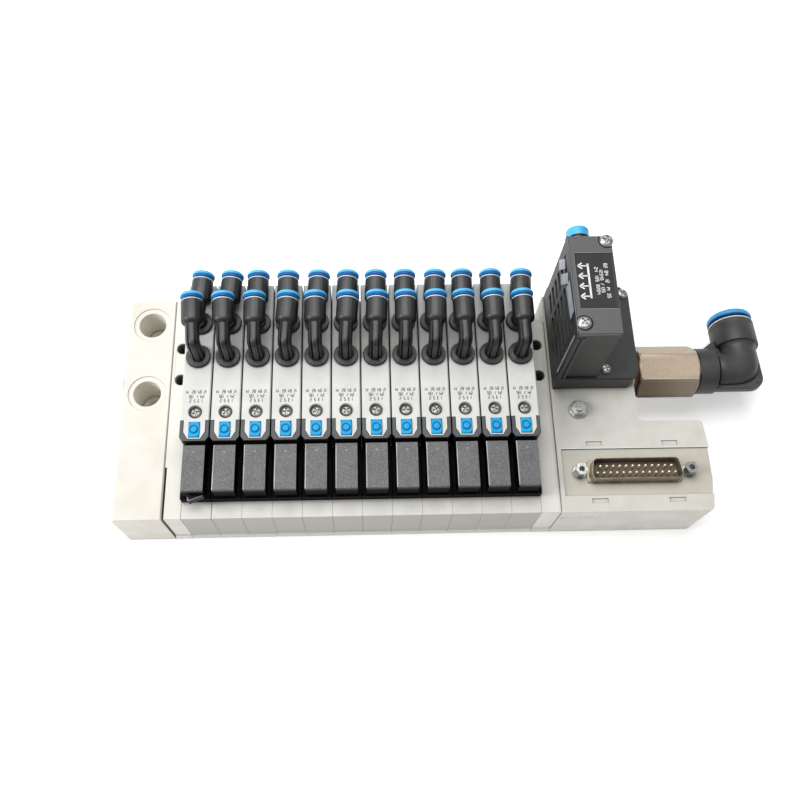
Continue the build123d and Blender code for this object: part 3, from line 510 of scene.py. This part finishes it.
# Half width, half length, corner power and height in mm, from the hidden stem up to the domed middle.
BUTTON_STEPS = [(2.28, 3.38, 7, -3.9), (2.28, 3.38, 7, 0.0), (2.22, 3.32, 5, 0.2), (2.0, 3.05, 4, 0.48),
                (1.85, 2.1, 2.6, 0.5), (1.75, 1.85, 2, 0.35), (1.6, 1.65, 2, 0.1), (1.42, 1.42, 2, 0.1),
                (1.35, 1.35, 2, 0.62), (1.15, 1.15, 2, 0.82), (0.7, 0.7, 2, 0.88), (0.1, 0.1, 2, 0.88)]
for i in range(1, STATIONS + 1):
    name = f"override_{i:02d}"
    low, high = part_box(name)
    foot = Vector(((low.x + high.x) / 2, (low.y + high.y) / 2, valve_top))
    rings = [[foot + point * MM for point in pad(*step)] for step in BUTTON_STEPS]
    button = mesh_piece(f"override_button_{i:02d}", *skin(rings), blue_acetal, name)
    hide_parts(name)


# ------------------------------------------------------------------ small push-in elbows
# Black nylon elbows for 4 mm tube: a foot disc, a grooved neck, a tight bend, an arm and a socket.
# The front row stands tall and reaches over the short rear row; the upper faces are painted grey as light, the
# lower ones black as shade.
FOOT_RADIUS, ARM_RADIUS, SOCKET_RADIUS, SOCKET_LENGTH = 5.2, 2.9, 4.55, 10.6


def elbow_rings(stem, along, rise, mouth):
    """The elbow's skin as rings from its foot up the grooved neck, round the mitred bend to its bore.
    A stage is forth, up, tilt, depth, width and groove depth, in mm and radians."""
    arm, socket, foot, inner, groove = ARM_RADIUS, SOCKET_RADIUS, FOOT_RADIUS, 0.5, 0.85
    across = Vector((along.y, -along.x, 0))
    grooves = (62, 118)
    angles = [(a, 0) for a in (7.5 * k for k in range(48)) if min(abs(a - g) for g in grooves) > 9]
    angles += [(g + off, cut) for g in grooves for off, cut in ((-8, 0), (-6, 1), (6, 1), (8, 0))]
    angles.sort()
    stages = [(0, 0.0, 0, foot, foot, 0), (0, 0.95, 0, foot, foot, 0), (0, 1.3, 0, 4.9, 4.9, 0),
              (0, 1.3, 0, 3.5, 3.5, 0), (0, 1.5, 0, 3.05, 3.05, groove), (0, 1.8, 0, arm, arm, groove)]
    pivot = (arm + inner, rise - arm - inner)
    for k in range(11):
        tilt = math.radians(9 * k)
        c, s = math.cos(tilt), math.sin(tilt)
        depth = 2 * arm * (c ** 5 + s ** 5) ** (-0.2)
        middle = inner + depth / 2
        stages.append((pivot[0] - c * middle, pivot[1] + s * middle, tilt, depth / 2, arm, groove - 0.045 * k))
    start = mouth - SOCKET_LENGTH
    stages += [(start - 1.3, rise, math.pi / 2, arm, arm, 0.4), (start - 0.6, rise, math.pi / 2, 3.0, 3.0, 0.3)]
    for step, radius, cut in ((-0.25, 3.3, 0.1), (0.1, 3.85, 0), (0.5, 4.25, 0), (1.0, 4.47, 0),
                              (1.5, socket, -0.05), (10.0, socket, -0.05), (10.1, 4.4, 0), (10.1, 3.45, 0),
                              (8.0, 3.45, 0), (7.9, 2.15, 0), (4.6, 2.1, 0)):
        stages.append((start + step, rise, math.pi / 2, radius, radius, cut))
    rings = []
    for forth, up, tilt, deep, wide, cut in stages:
        outward = along * -math.cos(tilt) + Vector((0, 0, math.sin(tilt)))
        centre = stem + (along * forth + Vector((0, 0, up))) * MM
        ring = []
        for angle, grooved in angles:
            t = math.radians(angle)
            shrink = 1 - grooved * cut / wide
            ring.append(centre + (across * math.cos(t) * wide + outward * math.sin(t) * deep) * shrink * MM)
        rings.append(ring)
    return rings


# Glass-filled nylon: satin grey-black on its upper sides and nearly black underneath, a painted light and shade.
fitting_nylon = moulded("fitting_nylon_painted_light_and_shade", "#3b3c3d", "#303132", "#0a0a0b", 0.42, 0.35, 0.12,
                        side="#131314")
# A painted highlight: a thin cold-white ring between the black socket and the blue ring, where the socket's
# bevelled lip catches the light.
pale_highlight = moulded("pale_painted_collet_lip", "#e6ecee", "#d9e1e5", "#a9b4bb", 0.35, 0.3, 0.05)
ROW_REACH = {"front": 21.7, "rear": 20.3}
RING_GAP = 3.0
LIP_PROFILE = [(3.5, 0.0), (4.45, 0.0), (4.53, 0.1), (4.45, 0.4), (3.5, 0.4)]
fittings = []
for row, reach in ROW_REACH.items():
    elbows_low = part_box(f"{row}_elbows")[0]
    for i, x in enumerate(station_x, start=1):
        low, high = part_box(f"{row}_ring_{i:02d}")
        stem = Vector((x, elbows_low.y + FOOT_RADIUS * MM, valve_top))
        middle = (low + high) / 2
        along = Vector((middle.x - stem.x, middle.y - stem.y, 0)).normalized()
        rise = (middle.z - stem.z) / MM
        mouth = reach - RING_GAP
        elbow = mesh_piece(f"{row}_elbow_{i:02d}", *skin(elbow_rings(stem, along, rise, mouth)),
                           fitting_nylon)
        lip_foot = stem + (along * (mouth - 0.5) + Vector((0, 0, rise))) * MM
        lip = ring_mesh(f"{row}_collet_lip_highlight_{i:02d}", LIP_PROFILE, lip_foot, along, pale_highlight)
        for piece in (elbow, lip):
            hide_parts(f"{row}_elbows")
        fittings.append((f"{row}_ring_{i:02d}", lip_foot + along * 1.3 * MM, along))

# ------------------------------------------------------------------ release rings
# Blue acetal release rings: pushed into the socket with two fingers, they free the tube.
# Each has a stepped flange: an undercut next to the socket, a groove and a bright outer tier.
# Light blue acetal, moulded: brighter and softer than the buttons, with a small gloss on its edge.
ring_blue = moulded("release_ring_acetal_moulded", "#5cbcea", "#4cb2e6", "#1e6fb4", 0.35, 0.3, 0.04, ior=1.4)
# The same acetal in its undercut groove, where little light falls: a deep blue band.
groove_blue = moulded("release_ring_groove_shaded", "#0f5fb0", "#0c55a2", "#06305f", 0.5, 0.3, 0.04, ior=1.4)
# Radius and height in mm: sleeve, undercut, first tier, groove and the bright outer tier.
SMALL_RING = [(2.1, -1.5), (3.3, -1.5), (3.3, 0.0), (4.2, 0.0), (4.45, 0.1), (4.45, 0.3), (4.35, 0.4),
              (4.35, 0.75), (4.78, 0.85), (4.85, 1.0), (4.85, 1.7), (4.6, 2.1), (4.3, 2.2), (2.6, 2.2), (2.1, 1.75)]
SMALL_GROOVE = [(4.0, 0.05), (4.47, 0.12), (4.47, 0.78), (4.0, 0.78)]
for name, foot, along in fittings:
    ring = ring_mesh(name.replace("ring", "release_ring"), SMALL_RING, foot, along, ring_blue, name)
    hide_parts(name)
    ring_mesh(name.replace("ring", "ring_groove"), SMALL_GROOVE, foot, along, groove_blue, name)

# ------------------------------------------------------------------ interface module
# The electrical and supply module: one light-grey polymer housing with a slightly sunk connector panel.
# The panel is a separate, yellower moulding held by four clips.
# Light-grey polymer, spark-eroded: matt and slightly green-grey, with painted shade round its parts.
module_grey = moulded("module_polymer_moulded", "#d2d0c8", "#c8c6bc", "#85837a", 0.52, 0.45)
# The panel's polymer comes from another lot: a shade darker and yellower than the module.
panel_grey = moulded("panel_polymer_moulded", "#bbb7aa", "#c2beb2", "#7a766a", 0.5, 0.45)
paint("interface_module", module_grey)
ease("interface_module", 0.4)
paint("connector_panel", panel_grey)
ease("connector_panel", 0.25)
module_low, module_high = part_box("interface_module")
panel_low, panel_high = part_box("connector_panel")
# Painted highlight: a thin pale strip along the panel's rear top edge.
slabs("panel_edge_highlight", [((panel_low.x, panel_high.y + 0.02 * MM, module_high.z - 0.3 * MM),
                            (panel_high.x, panel_high.y + 0.3 * MM, module_high.z + 0.02 * MM))], pale_highlight)
# Dark rubbed-in scuffs: matt, broken lines flush with the front face.
scuff_ink = moulded("scuff_marks_dark", "#2f2e2a", "#44433d", "#1c1b19", 0.6, 0.3, 0.05)
strokes("front_scuffs",
        [(1.5, 24.6, 6.5, 25.6, 0.22), (5.5, 23.4, 9.5, 25.2, 0.2), (8.5, 25.4, 13.5, 24.9, 0.2),
         (12.5, 22.6, 15.0, 25.8, 0.22), (1.0, 22.2, 3.0, 26.6, 0.24), (16.5, 22.0, 18.0, 25.4, 0.2)],
        (module_low.x, module_low.y, 0), (1, 0, 0), (0, 0, 1), scuff_ink, 0.005)

# ------------------------------------------------------------------ 25-way plug
# A standard subminiature plug: drawn tin-plated shell, brown insulator, plated round pins
# and two hexagonal jackscrews that hold its flange to the panel.
# Drawn steel, tin-plated: warm grey with soft, blotchy reflections.
tinned_steel = metal("tin_plated_steel_drawn", "#a59d8b", "#7d7565", 0.38, 0.25, 0.9, 2.5)
# Turned and nickel-plated steel: cooler and brighter than the shell.
jack_steel = metal("nickel_plated_steel_turned", "#b9bbba", "#7f8080", 0.3, 0.2, 0.9, 1.5)
# Filled brown moulding resin: dark and dry between the pins.
brown_resin = moulded("brown_resin_moulded", "#6b5848", "#5d4b3d", "#241a13", 0.5, 0.3, 0.1)
# Brass pins flashed with gold: tiny pale-yellow points of light.
pin_plate = metal("gold_flashed_brass", "#f3ead2", "#dccb9c", 0.3, 0.2, 0.6)
paint("connector_shell", tinned_steel)
ease("connector_shell", 0.18)
paint("connector_insulator", brown_resin)
paint("connector_jackscrews", jack_steel)
ease("connector_jackscrews", 0.3)
PIN_PITCH, PIN_RADIUS = 2.77, 0.5
pins_low, pins_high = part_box("connector_pins")
pin_height = (pins_high.z - pins_low.z) / MM
for row, count in ((0, 13), (1, 12)):
    pin_y = (pins_low.y + 0.46 * MM, pins_high.y - 0.46 * MM)[row]
    for k in range(count):
        pin_x = (pins_low.x + pins_high.x) / 2 + (k - (count - 1) / 2) * PIN_PITCH * MM
        pin = turned(f"contact_pin_{row}_{k + 1:02d}",
                     [(PIN_RADIUS, 0), (PIN_RADIUS, pin_height - 0.35), (0.44, pin_height - 0.12),
                      (0.25, pin_height - 0.02), (0, pin_height)],
                     (pin_x, pin_y, pins_low.z), (0, 0, 1), pin_plate, sides=20)
        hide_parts("connector_pins")

# ------------------------------------------------------------------ earth screw
# A zinc-plated flanged hexagon screw that takes the earth lead, cold-headed and a little tarnished.
paint("earth_screw", zinc_steel)
ease("earth_screw", 0.3)

# ------------------------------------------------------------------ silencer block
# Black glass-filled nylon: a flat base on the supply part and a tower with louvres on its left side.
# Its cover is screwed down, its top a grey of dust flecks and painted light, with a sunk label field printed in
# white.
# Glass-filled nylon with a coarse 0.5 mm grain: dull charcoal, with painted shade making the left, louvre side
# black.
tower_nylon = moulded("tower_nylon_moulded", "#343536", "#2c2d2e", "#0b0b0c", 0.5, 0.5, 0.3,
                      side="#393a3a")
paint("silencer_housing", tower_nylon)
ease("silencer_housing", 0.3)
housing_low, housing_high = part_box("silencer_housing")
cover = housing_high.z
tree = tower_nylon.node_tree
# Dust in 0.5 mm flecks and painted light on the cover: a lighter speckled grey from the cover's top face down to
# just below its edge.
speckle = add(tree, "ShaderNodeTexNoise", {"Vector": add(tree, "ShaderNodeTexCoord").outputs["Object"],
                                           "Scale": 1 / (0.5 * MM), "Detail": 2.0}).outputs["Fac"]
dust_and_light = blend(tree, speckle, linear("#676664"), linear("#414143"))
below_cover = add(tree, "ShaderNodeMapRange", {"Value": above(tree, cover - 0.25 * MM, cover - 0.1 * MM),
                                               "To Min": 1.0, "To Max": 0.0}).outputs["Result"]
recolour(tower_nylon, below_cover, dust_and_light)
# Painted shade: faces turned to the left are darkened to black.
normal_x = add(tree, "ShaderNodeSeparateXYZ",
               {"Vector": add(tree, "ShaderNodeNewGeometry").outputs["Normal"]}).outputs["X"]
not_left = add(tree, "ShaderNodeMapRange",
               {"Value": normal_x, "From Min": -0.9, "From Max": -0.5}).outputs["Result"]
recolour(tower_nylon, not_left, linear("#111112"))
silencer_x = housing_low.x
# Painted highlight where the louvre ribs catch the sky: a cold grey sheen on black, as thin raised patches.
rib_sheen = moulded("nylon_rib_skylit", "#6f737b", "#8b9099", "#2a2b2e", 0.4, 0.5, 0.2)
strokes("louvre_rib_highlights",
        [(-97.4, 68.9, -92.3, 78.6, 4.2), (-90.2, 69.2, -84.4, 80.6, 4.4), (-82.4, 79.3, -67.6, 80.4, 6.4)],
        (silencer_x, back(0), 0), (0, -1, 0), (0, 0, 1), rib_sheen, 0.25)
cover_seat, base_seat = cover - 0.6 * MM, module_high.z + 9.6 * MM
# Right of the tower's wall, place, seat height, head radius and head height: two in the cover, two in the base.
TOWER_SCREWS = ((3.2, 61.8, cover_seat, 2.9, 1.7), (16.0, 99.0, cover_seat, 2.9, 1.7),
                (21.9, 60.9, base_seat, 2.3, 1.5), (33.6, 97.6, base_seat, 2.3, 1.5))
for k, (x, place, foot, radius, rise) in enumerate(TOWER_SCREWS, start=1):
    head = pan_screw(f"silencer_screw_{k}", radius, rise, (silencer_x + x * MM, back(place), foot), zinc_steel,
                     turn=0.6 * k)
    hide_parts("silencer_screws")
# White pad-printing ink: clean, flat and slightly thick.
white_ink = moulded("white_pad_print_ink", "#e9eaea", "#dddede", "#a0a0a0", 0.5, 0.3, 0.05)
ARROW_BAR = 7.2
arrows = [(ARROW_BAR, 72.9, ARROW_BAR, 88.6, 0.8)]
for tip in (87.6, 83.0, 78.4, 73.8):
    arrows += [(ARROW_BAR, tip, 4.2, tip, 0.5), (4.9, tip + 1.3, 3.1, tip, 0.6),
               (4.9, tip - 1.3, 3.1, tip, 0.6)]
label_z = cover - 0.3 * MM
# Black polyester label in the sunk field: smoother and darker than the cover round it, whose top is lightened by
# dust and painted light.
label_foil = moulded("label_foil_black", "#323234", "#3a3a3b", "#0c0c0e", 0.5, 0.3, 0.05, ior=1.25)
slabs("label_plate", [((silencer_x + 0.3 * MM, back(58.2), label_z - 0.1 * MM),
                       (silencer_x + 17 * MM, back(100.4), label_z + 0.01 * MM))], label_foil)
strokes("flow_arrows", arrows, (silencer_x, back(0), label_z), (1, 0, 0), (0, 1, 0), white_ink)
strokes("tower_numbers", numerals("82 84 12 14 35", 0, 2.0, 1.3, 1.14, 0.26)
        + numerals("12345 /135", 0, -0.1, 1.2, 1.12, 0.24) + numerals("24 135 8284", 0, -2.0, 1.2, 1.14, 0.26),
        (silencer_x + 12.4 * MM, back(80.6), label_z), (0, -1, 0), (1, 0, 0), white_ink)
# Thin grey lines: a painted highlight along the front ridge, and lines along and across the label field on the
# cover.
grey_lines_and_highlight = moulded("nylon_grey_lines_and_painted_highlight", "#8a8a8b", "#6c6c6d", "#2c2c2c", 0.5, 0.3)
strokes("front_ridge_highlight", [(-58.4, 46.0, -58.4, 80.5, 1.1)],
        (silencer_x, back(0), 0), (0, -1, 0), (0, 0, 1), grey_lines_and_highlight, 0.3)
strokes("label_lines",
        [(2.4, 93.5, 17.0, 93.5, 0.22), (2.4, 68.0, 17.0, 68.0, 0.22), (0.15, 58.0, 0.15, 100.6, 0.25),
         (2.1, 68.2, 2.1, 93.2, 0.18), (0.6, 56.6, 17.2, 56.6, 0.2)],
        (silencer_x, back(0), cover), (1, 0, 0), (0, 1, 0), grey_lines_and_highlight)

# ------------------------------------------------------------------ pilot fitting
# A short push-in cartridge with its own blue release ring, behind the tower.
# The same black nylon as the small elbows.
paint("pilot_fitting", fitting_nylon)
low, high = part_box("pilot_ring")
foot = Vector(((low.x + high.x) / 2, low.y, (low.z + high.z) / 2))
# The small ring's outer tier, with a skirt that reaches back over the cartridge instead of an undercut.
PILOT_SKIRT = [(2.1, 0.1), (4.35, 0.1), (4.35, -1.8), (4.7, -1.8)]
ring = ring_mesh("pilot_release_ring", PILOT_SKIRT + SMALL_RING[8:], foot, (0, 1, 0), ring_blue, "pilot_ring")
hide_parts("pilot_ring")

# ------------------------------------------------------------------ supply adapter
# A hexagon adapter of nickel-plated brass, screwed into the module's side. The plating is worn warm
# on the upper flats, and painted shade makes it a dull olive underneath; a copper washer seals its root.
FLATS = 21.0
HEX_TURN = math.radians(30 + 9.7)
# Machined brass under worn nickel: pinkish tan, with painted shade making the lower flats a dull olive.
nickelled_brass = metal("nickelled_brass_machined", "#c9b8a3", "#bda991", 0.5, 0.3, 0.25, 1.2,
                        side="#4d4330")
adapter_low, adapter_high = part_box("supply_adapter")
module_side = module_low.x + 37.3 * MM
supply_y, supply_z = (adapter_low.y + adapter_high.y) / 2, (adapter_low.z + adapter_high.z) / 2
root = Vector((module_side, supply_y, supply_z))
# Height from the module's side and greatest radius in mm: bevelled hexagon, then the elbow's spigot.
ADAPTER_STEPS = ((4.6, 0.1), (4.6, 10.2), (5.1, 11.3), (5.9, 12.3), (30.9, 12.3), (31.6, 11.4),
                 (32.2, 10.4), (32.2, 6.0), (38.9, 6.0), (39.1, 5.7), (39.1, 0.1))
rings = []
for height, limit in ADAPTER_STEPS:
    ring = []
    for t in turns(96):
        flat = FLATS / 2 / math.cos((t + math.pi / 6) % (math.pi / 3) - math.pi / 6)
        turn = t + HEX_TURN
        radius = min(flat, limit)
        ring.append(root + Vector((height, radius * math.cos(turn), radius * math.sin(turn))) * MM)
    rings.append(ring)
adapter = mesh_piece("hexagon_adapter", *skin(rings), nickelled_brass)
# White sealing plastic: a clean, bright crescent between two brown washers.
sealing_ptfe = moulded("ptfe_sealing_ring", "#e4e2e0", "#d6d2ce", "#9a958f", 0.5, 0.3, 0.05)
# Copper gone brown with age: dark, warm and dull.
copper = metal("copper_washer_oxidised", "#6e5040", "#523a2e", 0.5, 0.3, 0.5, 1.5)
adapter_neck = turned("adapter_neck", [(0.1, 0.02), (9.3, 0.02), (9.3, 4.6), (0.1, 4.6)], root,
                      (1, 0, 0), copper)
for piece in (adapter, adapter_neck):
    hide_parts("supply_adapter")
for name, profile, finish in (
        ("copper_washer_inner", [(9.0, 0.05), (10.5, 0.05), (10.5, 0.8), (9.0, 0.8)], copper),
        ("sealing_ring", [(9.0, 0.8), (10.4, 0.8), (10.6, 1.2), (10.6, 2.4), (9.0, 2.4)], sealing_ptfe),
        ("copper_washer", [(9.0, 2.4), (10.7, 2.4), (10.8, 2.7), (10.8, 3.5), (9.0, 3.5)], copper)):
    ring_mesh(name, profile, root, (1, 0, 0), finish)

# ------------------------------------------------------------------ supply elbow and ring
# A large black nylon elbow that swivels on the adapter, for 12 mm tube, with its own release ring.
# It is one thick moulding, so its faces have slight sinks and catch the light softly.
# The same nylon in one thick moulding, with soft, broad highlights: painted light makes it charcoal on top, painted
# shade black below.
elbow_nylon = moulded("elbow_nylon_moulded", "#474847", "#3c3d3c", "#090909", 0.45, 0.4, 0.15,
                      side="#1d1e1e")
TILT = math.radians(-6)
LEG_LENGTH, RING_THICKNESS, RING_RADIUS, HUB_LENGTH = 28.4, 3.0, 10.2, 9.0
RIB_REACH, RIB_FOOT, RIB_CORNER = 8.9, 10.2, 6.5
SIDES = 80
low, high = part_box("supply_ring")
leg = Vector((0, math.cos(TILT), math.sin(TILT)))
leg_side = Vector((0, -math.sin(TILT), math.cos(TILT)))
hub_axis = Vector((1, 0, 0))
outer_face = Vector(((low.x + high.x) / 2, high.y + RING_RADIUS * MM * math.sin(TILT),
                     low.z + RING_RADIUS * MM * math.cos(TILT)))
flange = outer_face - leg * RING_THICKNESS * MM
leg_root = outer_face - leg * LEG_LENGTH * MM
hub_foot = Vector((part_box("supply_elbow")[0].x, supply_y, leg_root.z))
HUB_PROFILE = [(0.1, 9.5), (8.0, 9.5), (8.0, HUB_LENGTH), (10.1, HUB_LENGTH), (10.45, 8.6), (10.5, 0.5),
               (10.1, 0.0), (6.4, 0.0), (6.15, 0.3), (6.15, 7.4), (0.1, 7.4)]
hub = turned("elbow_hub", HUB_PROFILE, hub_foot, (1, 0, 0), elbow_nylon, "supply_elbow", SIDES)
# The bend: body radius, the radius inside the bend, and a power that squares its outer corner.
BODY, INNER, SQUARE = 8.5, 0.9, 3.2
hub_end = (hub_foot.x - leg_root.x) / MM + HUB_LENGTH
rings = []
stages = [(hub_end - 0.4, 0, 0, 7.4, 7.4), (hub_end + 0.9, 0, 0, 7.5, 7.5), (hub_end + 1.3, 0, 0, 8.2, 8.2),
          (hub_end + 1.9, 0, 0, BODY, BODY)]
for k in range(19):
    swing = math.radians(5 * k)
    c, s = math.cos(swing), math.sin(swing)
    depth = 2 * BODY * (c ** SQUARE + s ** SQUARE) ** (-1 / SQUARE)
    middle = INNER + depth / 2
    stages.append((-(BODY + INNER) + s * middle, (BODY + INNER) - c * middle, swing, depth / 2, BODY))
stages += [(0, forth, math.pi / 2, radius, radius) for forth, radius in (
    (10.6, 8.9), (11.3, 9.3), (11.6, 9.5), (11.6, 10.0), (11.9, 10.25), (12.4, 10.3), (20.2, 10.3),
    (20.4, 10.24), (22.9, 10.24), (22.9, 9.9), (24.0, 9.9), (24.0, 7.75), (19.6, 7.7), (19.5, 6.1), (9.5, 6.0))]
for x, y, swing, deep, wide in stages:
    outward = leg * -math.cos(swing) + hub_axis * math.sin(swing)
    centre = leg_root + (hub_axis * x + leg * y) * MM
    rings.append([centre + (leg_side * math.cos(t) * wide + outward * math.sin(t) * deep) * MM
                  for t in turns(SIDES)])
body = mesh_piece("elbow_body", *skin(rings), elbow_nylon, "supply_elbow", 30)
corner = [(RIB_REACH - RIB_CORNER * (1 - math.sin(t)), -RIB_FOOT + RIB_CORNER * (1 - math.cos(t)))
          for t in (math.radians(9 * k) for k in range(11))]
outline = [(hub_end - 0.3, -RIB_FOOT)] + corner + [(RIB_REACH, 12.3), (-RIB_REACH, 17.0), (-18.4, 9.6),
                                                   (-18.4, 0.0), (hub_end - 0.3, -4.0)]
# The rib's thickness in mm, with each face a little smaller than the middle so that its edges are eased.
rib_layers = ((-1.7, 0.98), (-1.4, 1.0), (1.4, 1.0), (1.7, 0.98))
rib = mesh_piece("elbow_rib", *skin([[leg_root + (hub_axis * (x * k + 0.1) + leg * (y * k) + leg_side * z) * MM
                                      for x, y in outline] for z, k in rib_layers]),
                 elbow_nylon, "supply_elbow", 30)
for piece in (hub, body, rib):
    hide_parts("supply_elbow")
# The ejector pin's mark, a shallow pit that collects shade: a small black dot.
pit = moulded("ejector_pit_shadow", "#0c0c0c", "#101010", "#050505", 0.7, 0.3)
turned("ejector_pit", [(0.1, 0), (0.45, 0), (0.45, 0.05), (0.1, 0.05)],
       leg_root + (hub_axis * 5.6 - leg * 7.2 + leg_side * 1.7) * MM, leg_side, pit, "supply_elbow", sides=24)
# Nylon scuffed brown round the socket's mouth, dull and slightly warm.
mouth_band = moulded("elbow_mouth_scuffed", "#554d42", "#453f37", "#0d0c0b", 0.6, 0.35, 0.2)
ring_mesh("large_mouth_band", [(9.7, -3.9), (10.28, -3.9), (10.28, -1.95), (9.7, -1.95)], flange, leg,
          mouth_band, "supply_elbow", SIDES)
# Painted highlight: the same pale ring at the large socket's mouth.
ring_mesh("large_collet_lip", [(8.5, -1.95), (10.1, -1.95), (10.25, -1.8), (10.1, -1.22), (8.5, -1.22)],
          flange, leg, pale_highlight, "supply_elbow", SIDES)
# The large ring's light blue acetal: as the small rings, a little deeper on its broad rim.
large_blue = moulded("large_ring_acetal_moulded", "#4fb0e6", "#44a6e0", "#0c4f92", 0.4, 0.35, 0.05, ior=1.4)
# Radius and height in mm: the sleeve inside the socket, the undercut and the broad outer rim.
LARGE_RING = [(6.3, -3.9), (7.6, -3.9), (7.6, 0.0), (9.3, 0.0), (9.5, 0.15), (9.5, 0.5), (10.05, 0.6),
              (RING_RADIUS, 0.85), (RING_RADIUS, 2.2), (9.9, 2.75), (9.4, RING_THICKNESS),
              (6.8, RING_THICKNESS), (6.3, 2.5)]
large_ring = ring_mesh("large_release_ring", LARGE_RING, flange, leg, large_blue, "supply_ring", SIDES)
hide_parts("supply_ring")
ring_mesh("large_ring_groove", [(9.0, 0.02), (9.8, 0.02), (9.8, 0.58), (9.0, 0.58)], flange, leg,
          groove_blue, "supply_ring", SIDES)

# ------------------------------------------------------------------ studio
# A plain back-lit white table, a broad soft light overhead behind the row and one from the left.
# The table keeps the shadows very pale.
# A white laminate table, matt and faintly lit from below, so that shadows stay pale.
floor_material = bpy.data.materials.new("studio_table")
floor_material.use_nodes = True
table = floor_material.node_tree.nodes["Principled BSDF"]
table.inputs["Base Color"].default_value = linear("#f6f6f5")
table.inputs["Roughness"].default_value = 0.9
table.inputs["Emission Color"].default_value = linear("#ffffff")
table.inputs["Emission Strength"].default_value = 0.4
floor_mesh = bpy.data.meshes.new("floor")
floor_mesh.from_pydata([(-3, -3, 0), (3, -3, 0), (3, 3, 0), (-3, 3, 0)], [], [(0, 1, 2, 3)])
floor_mesh.materials.append(floor_material)
floor = bpy.data.objects.new("floor", floor_mesh)
floor.location.z = -0.2 * MM
bpy.context.collection.objects.link(floor)

scene = bpy.context.scene
scene.view_settings.view_transform = "Standard"
world = bpy.data.worlds.new("studio")
scene.world = world
world.use_nodes = True
world.node_tree.nodes["Background"].inputs["Color"].default_value = linear("#ffffff")
world.node_tree.nodes["Background"].inputs["Strength"].default_value = 0.28


def softbox(name, place, aim, size, power):
    """A square area light at place, turned to aim, size metres wide."""
    light = bpy.data.lights.new(name, "AREA")
    light.size = size
    light.energy = power
    lamp = bpy.data.objects.new(name, light)
    lamp.location = place
    lamp.rotation_euler = (Vector(aim) - Vector(place)).to_track_quat("-Z", "Y").to_euler()
    bpy.context.collection.objects.link(lamp)


softbox("overhead", (-0.1, 0.3, 0.9), (0, 0, 0), 0.7, 7)
softbox("left", (-0.75, -0.1, 0.55), (0, 0, 0.03), 0.4, 5.5)

# A 40 mm lens 0.39 m above the table, leaning back over the row from its front left.
camera_data = bpy.data.cameras.new("camera")
camera_data.sensor_width = 36
camera_data.lens = 40.05
camera_data.clip_start = 0.01
camera = bpy.data.objects.new("camera", camera_data)
camera.location = (-22.49 * MM, -145.96 * MM, 392.18 * MM)
camera.rotation_euler = [math.radians(a) for a in (22.21, -1.91, -1.6)]
bpy.context.collection.objects.link(camera)
scene.camera = camera

bpy.context.view_layer.update()
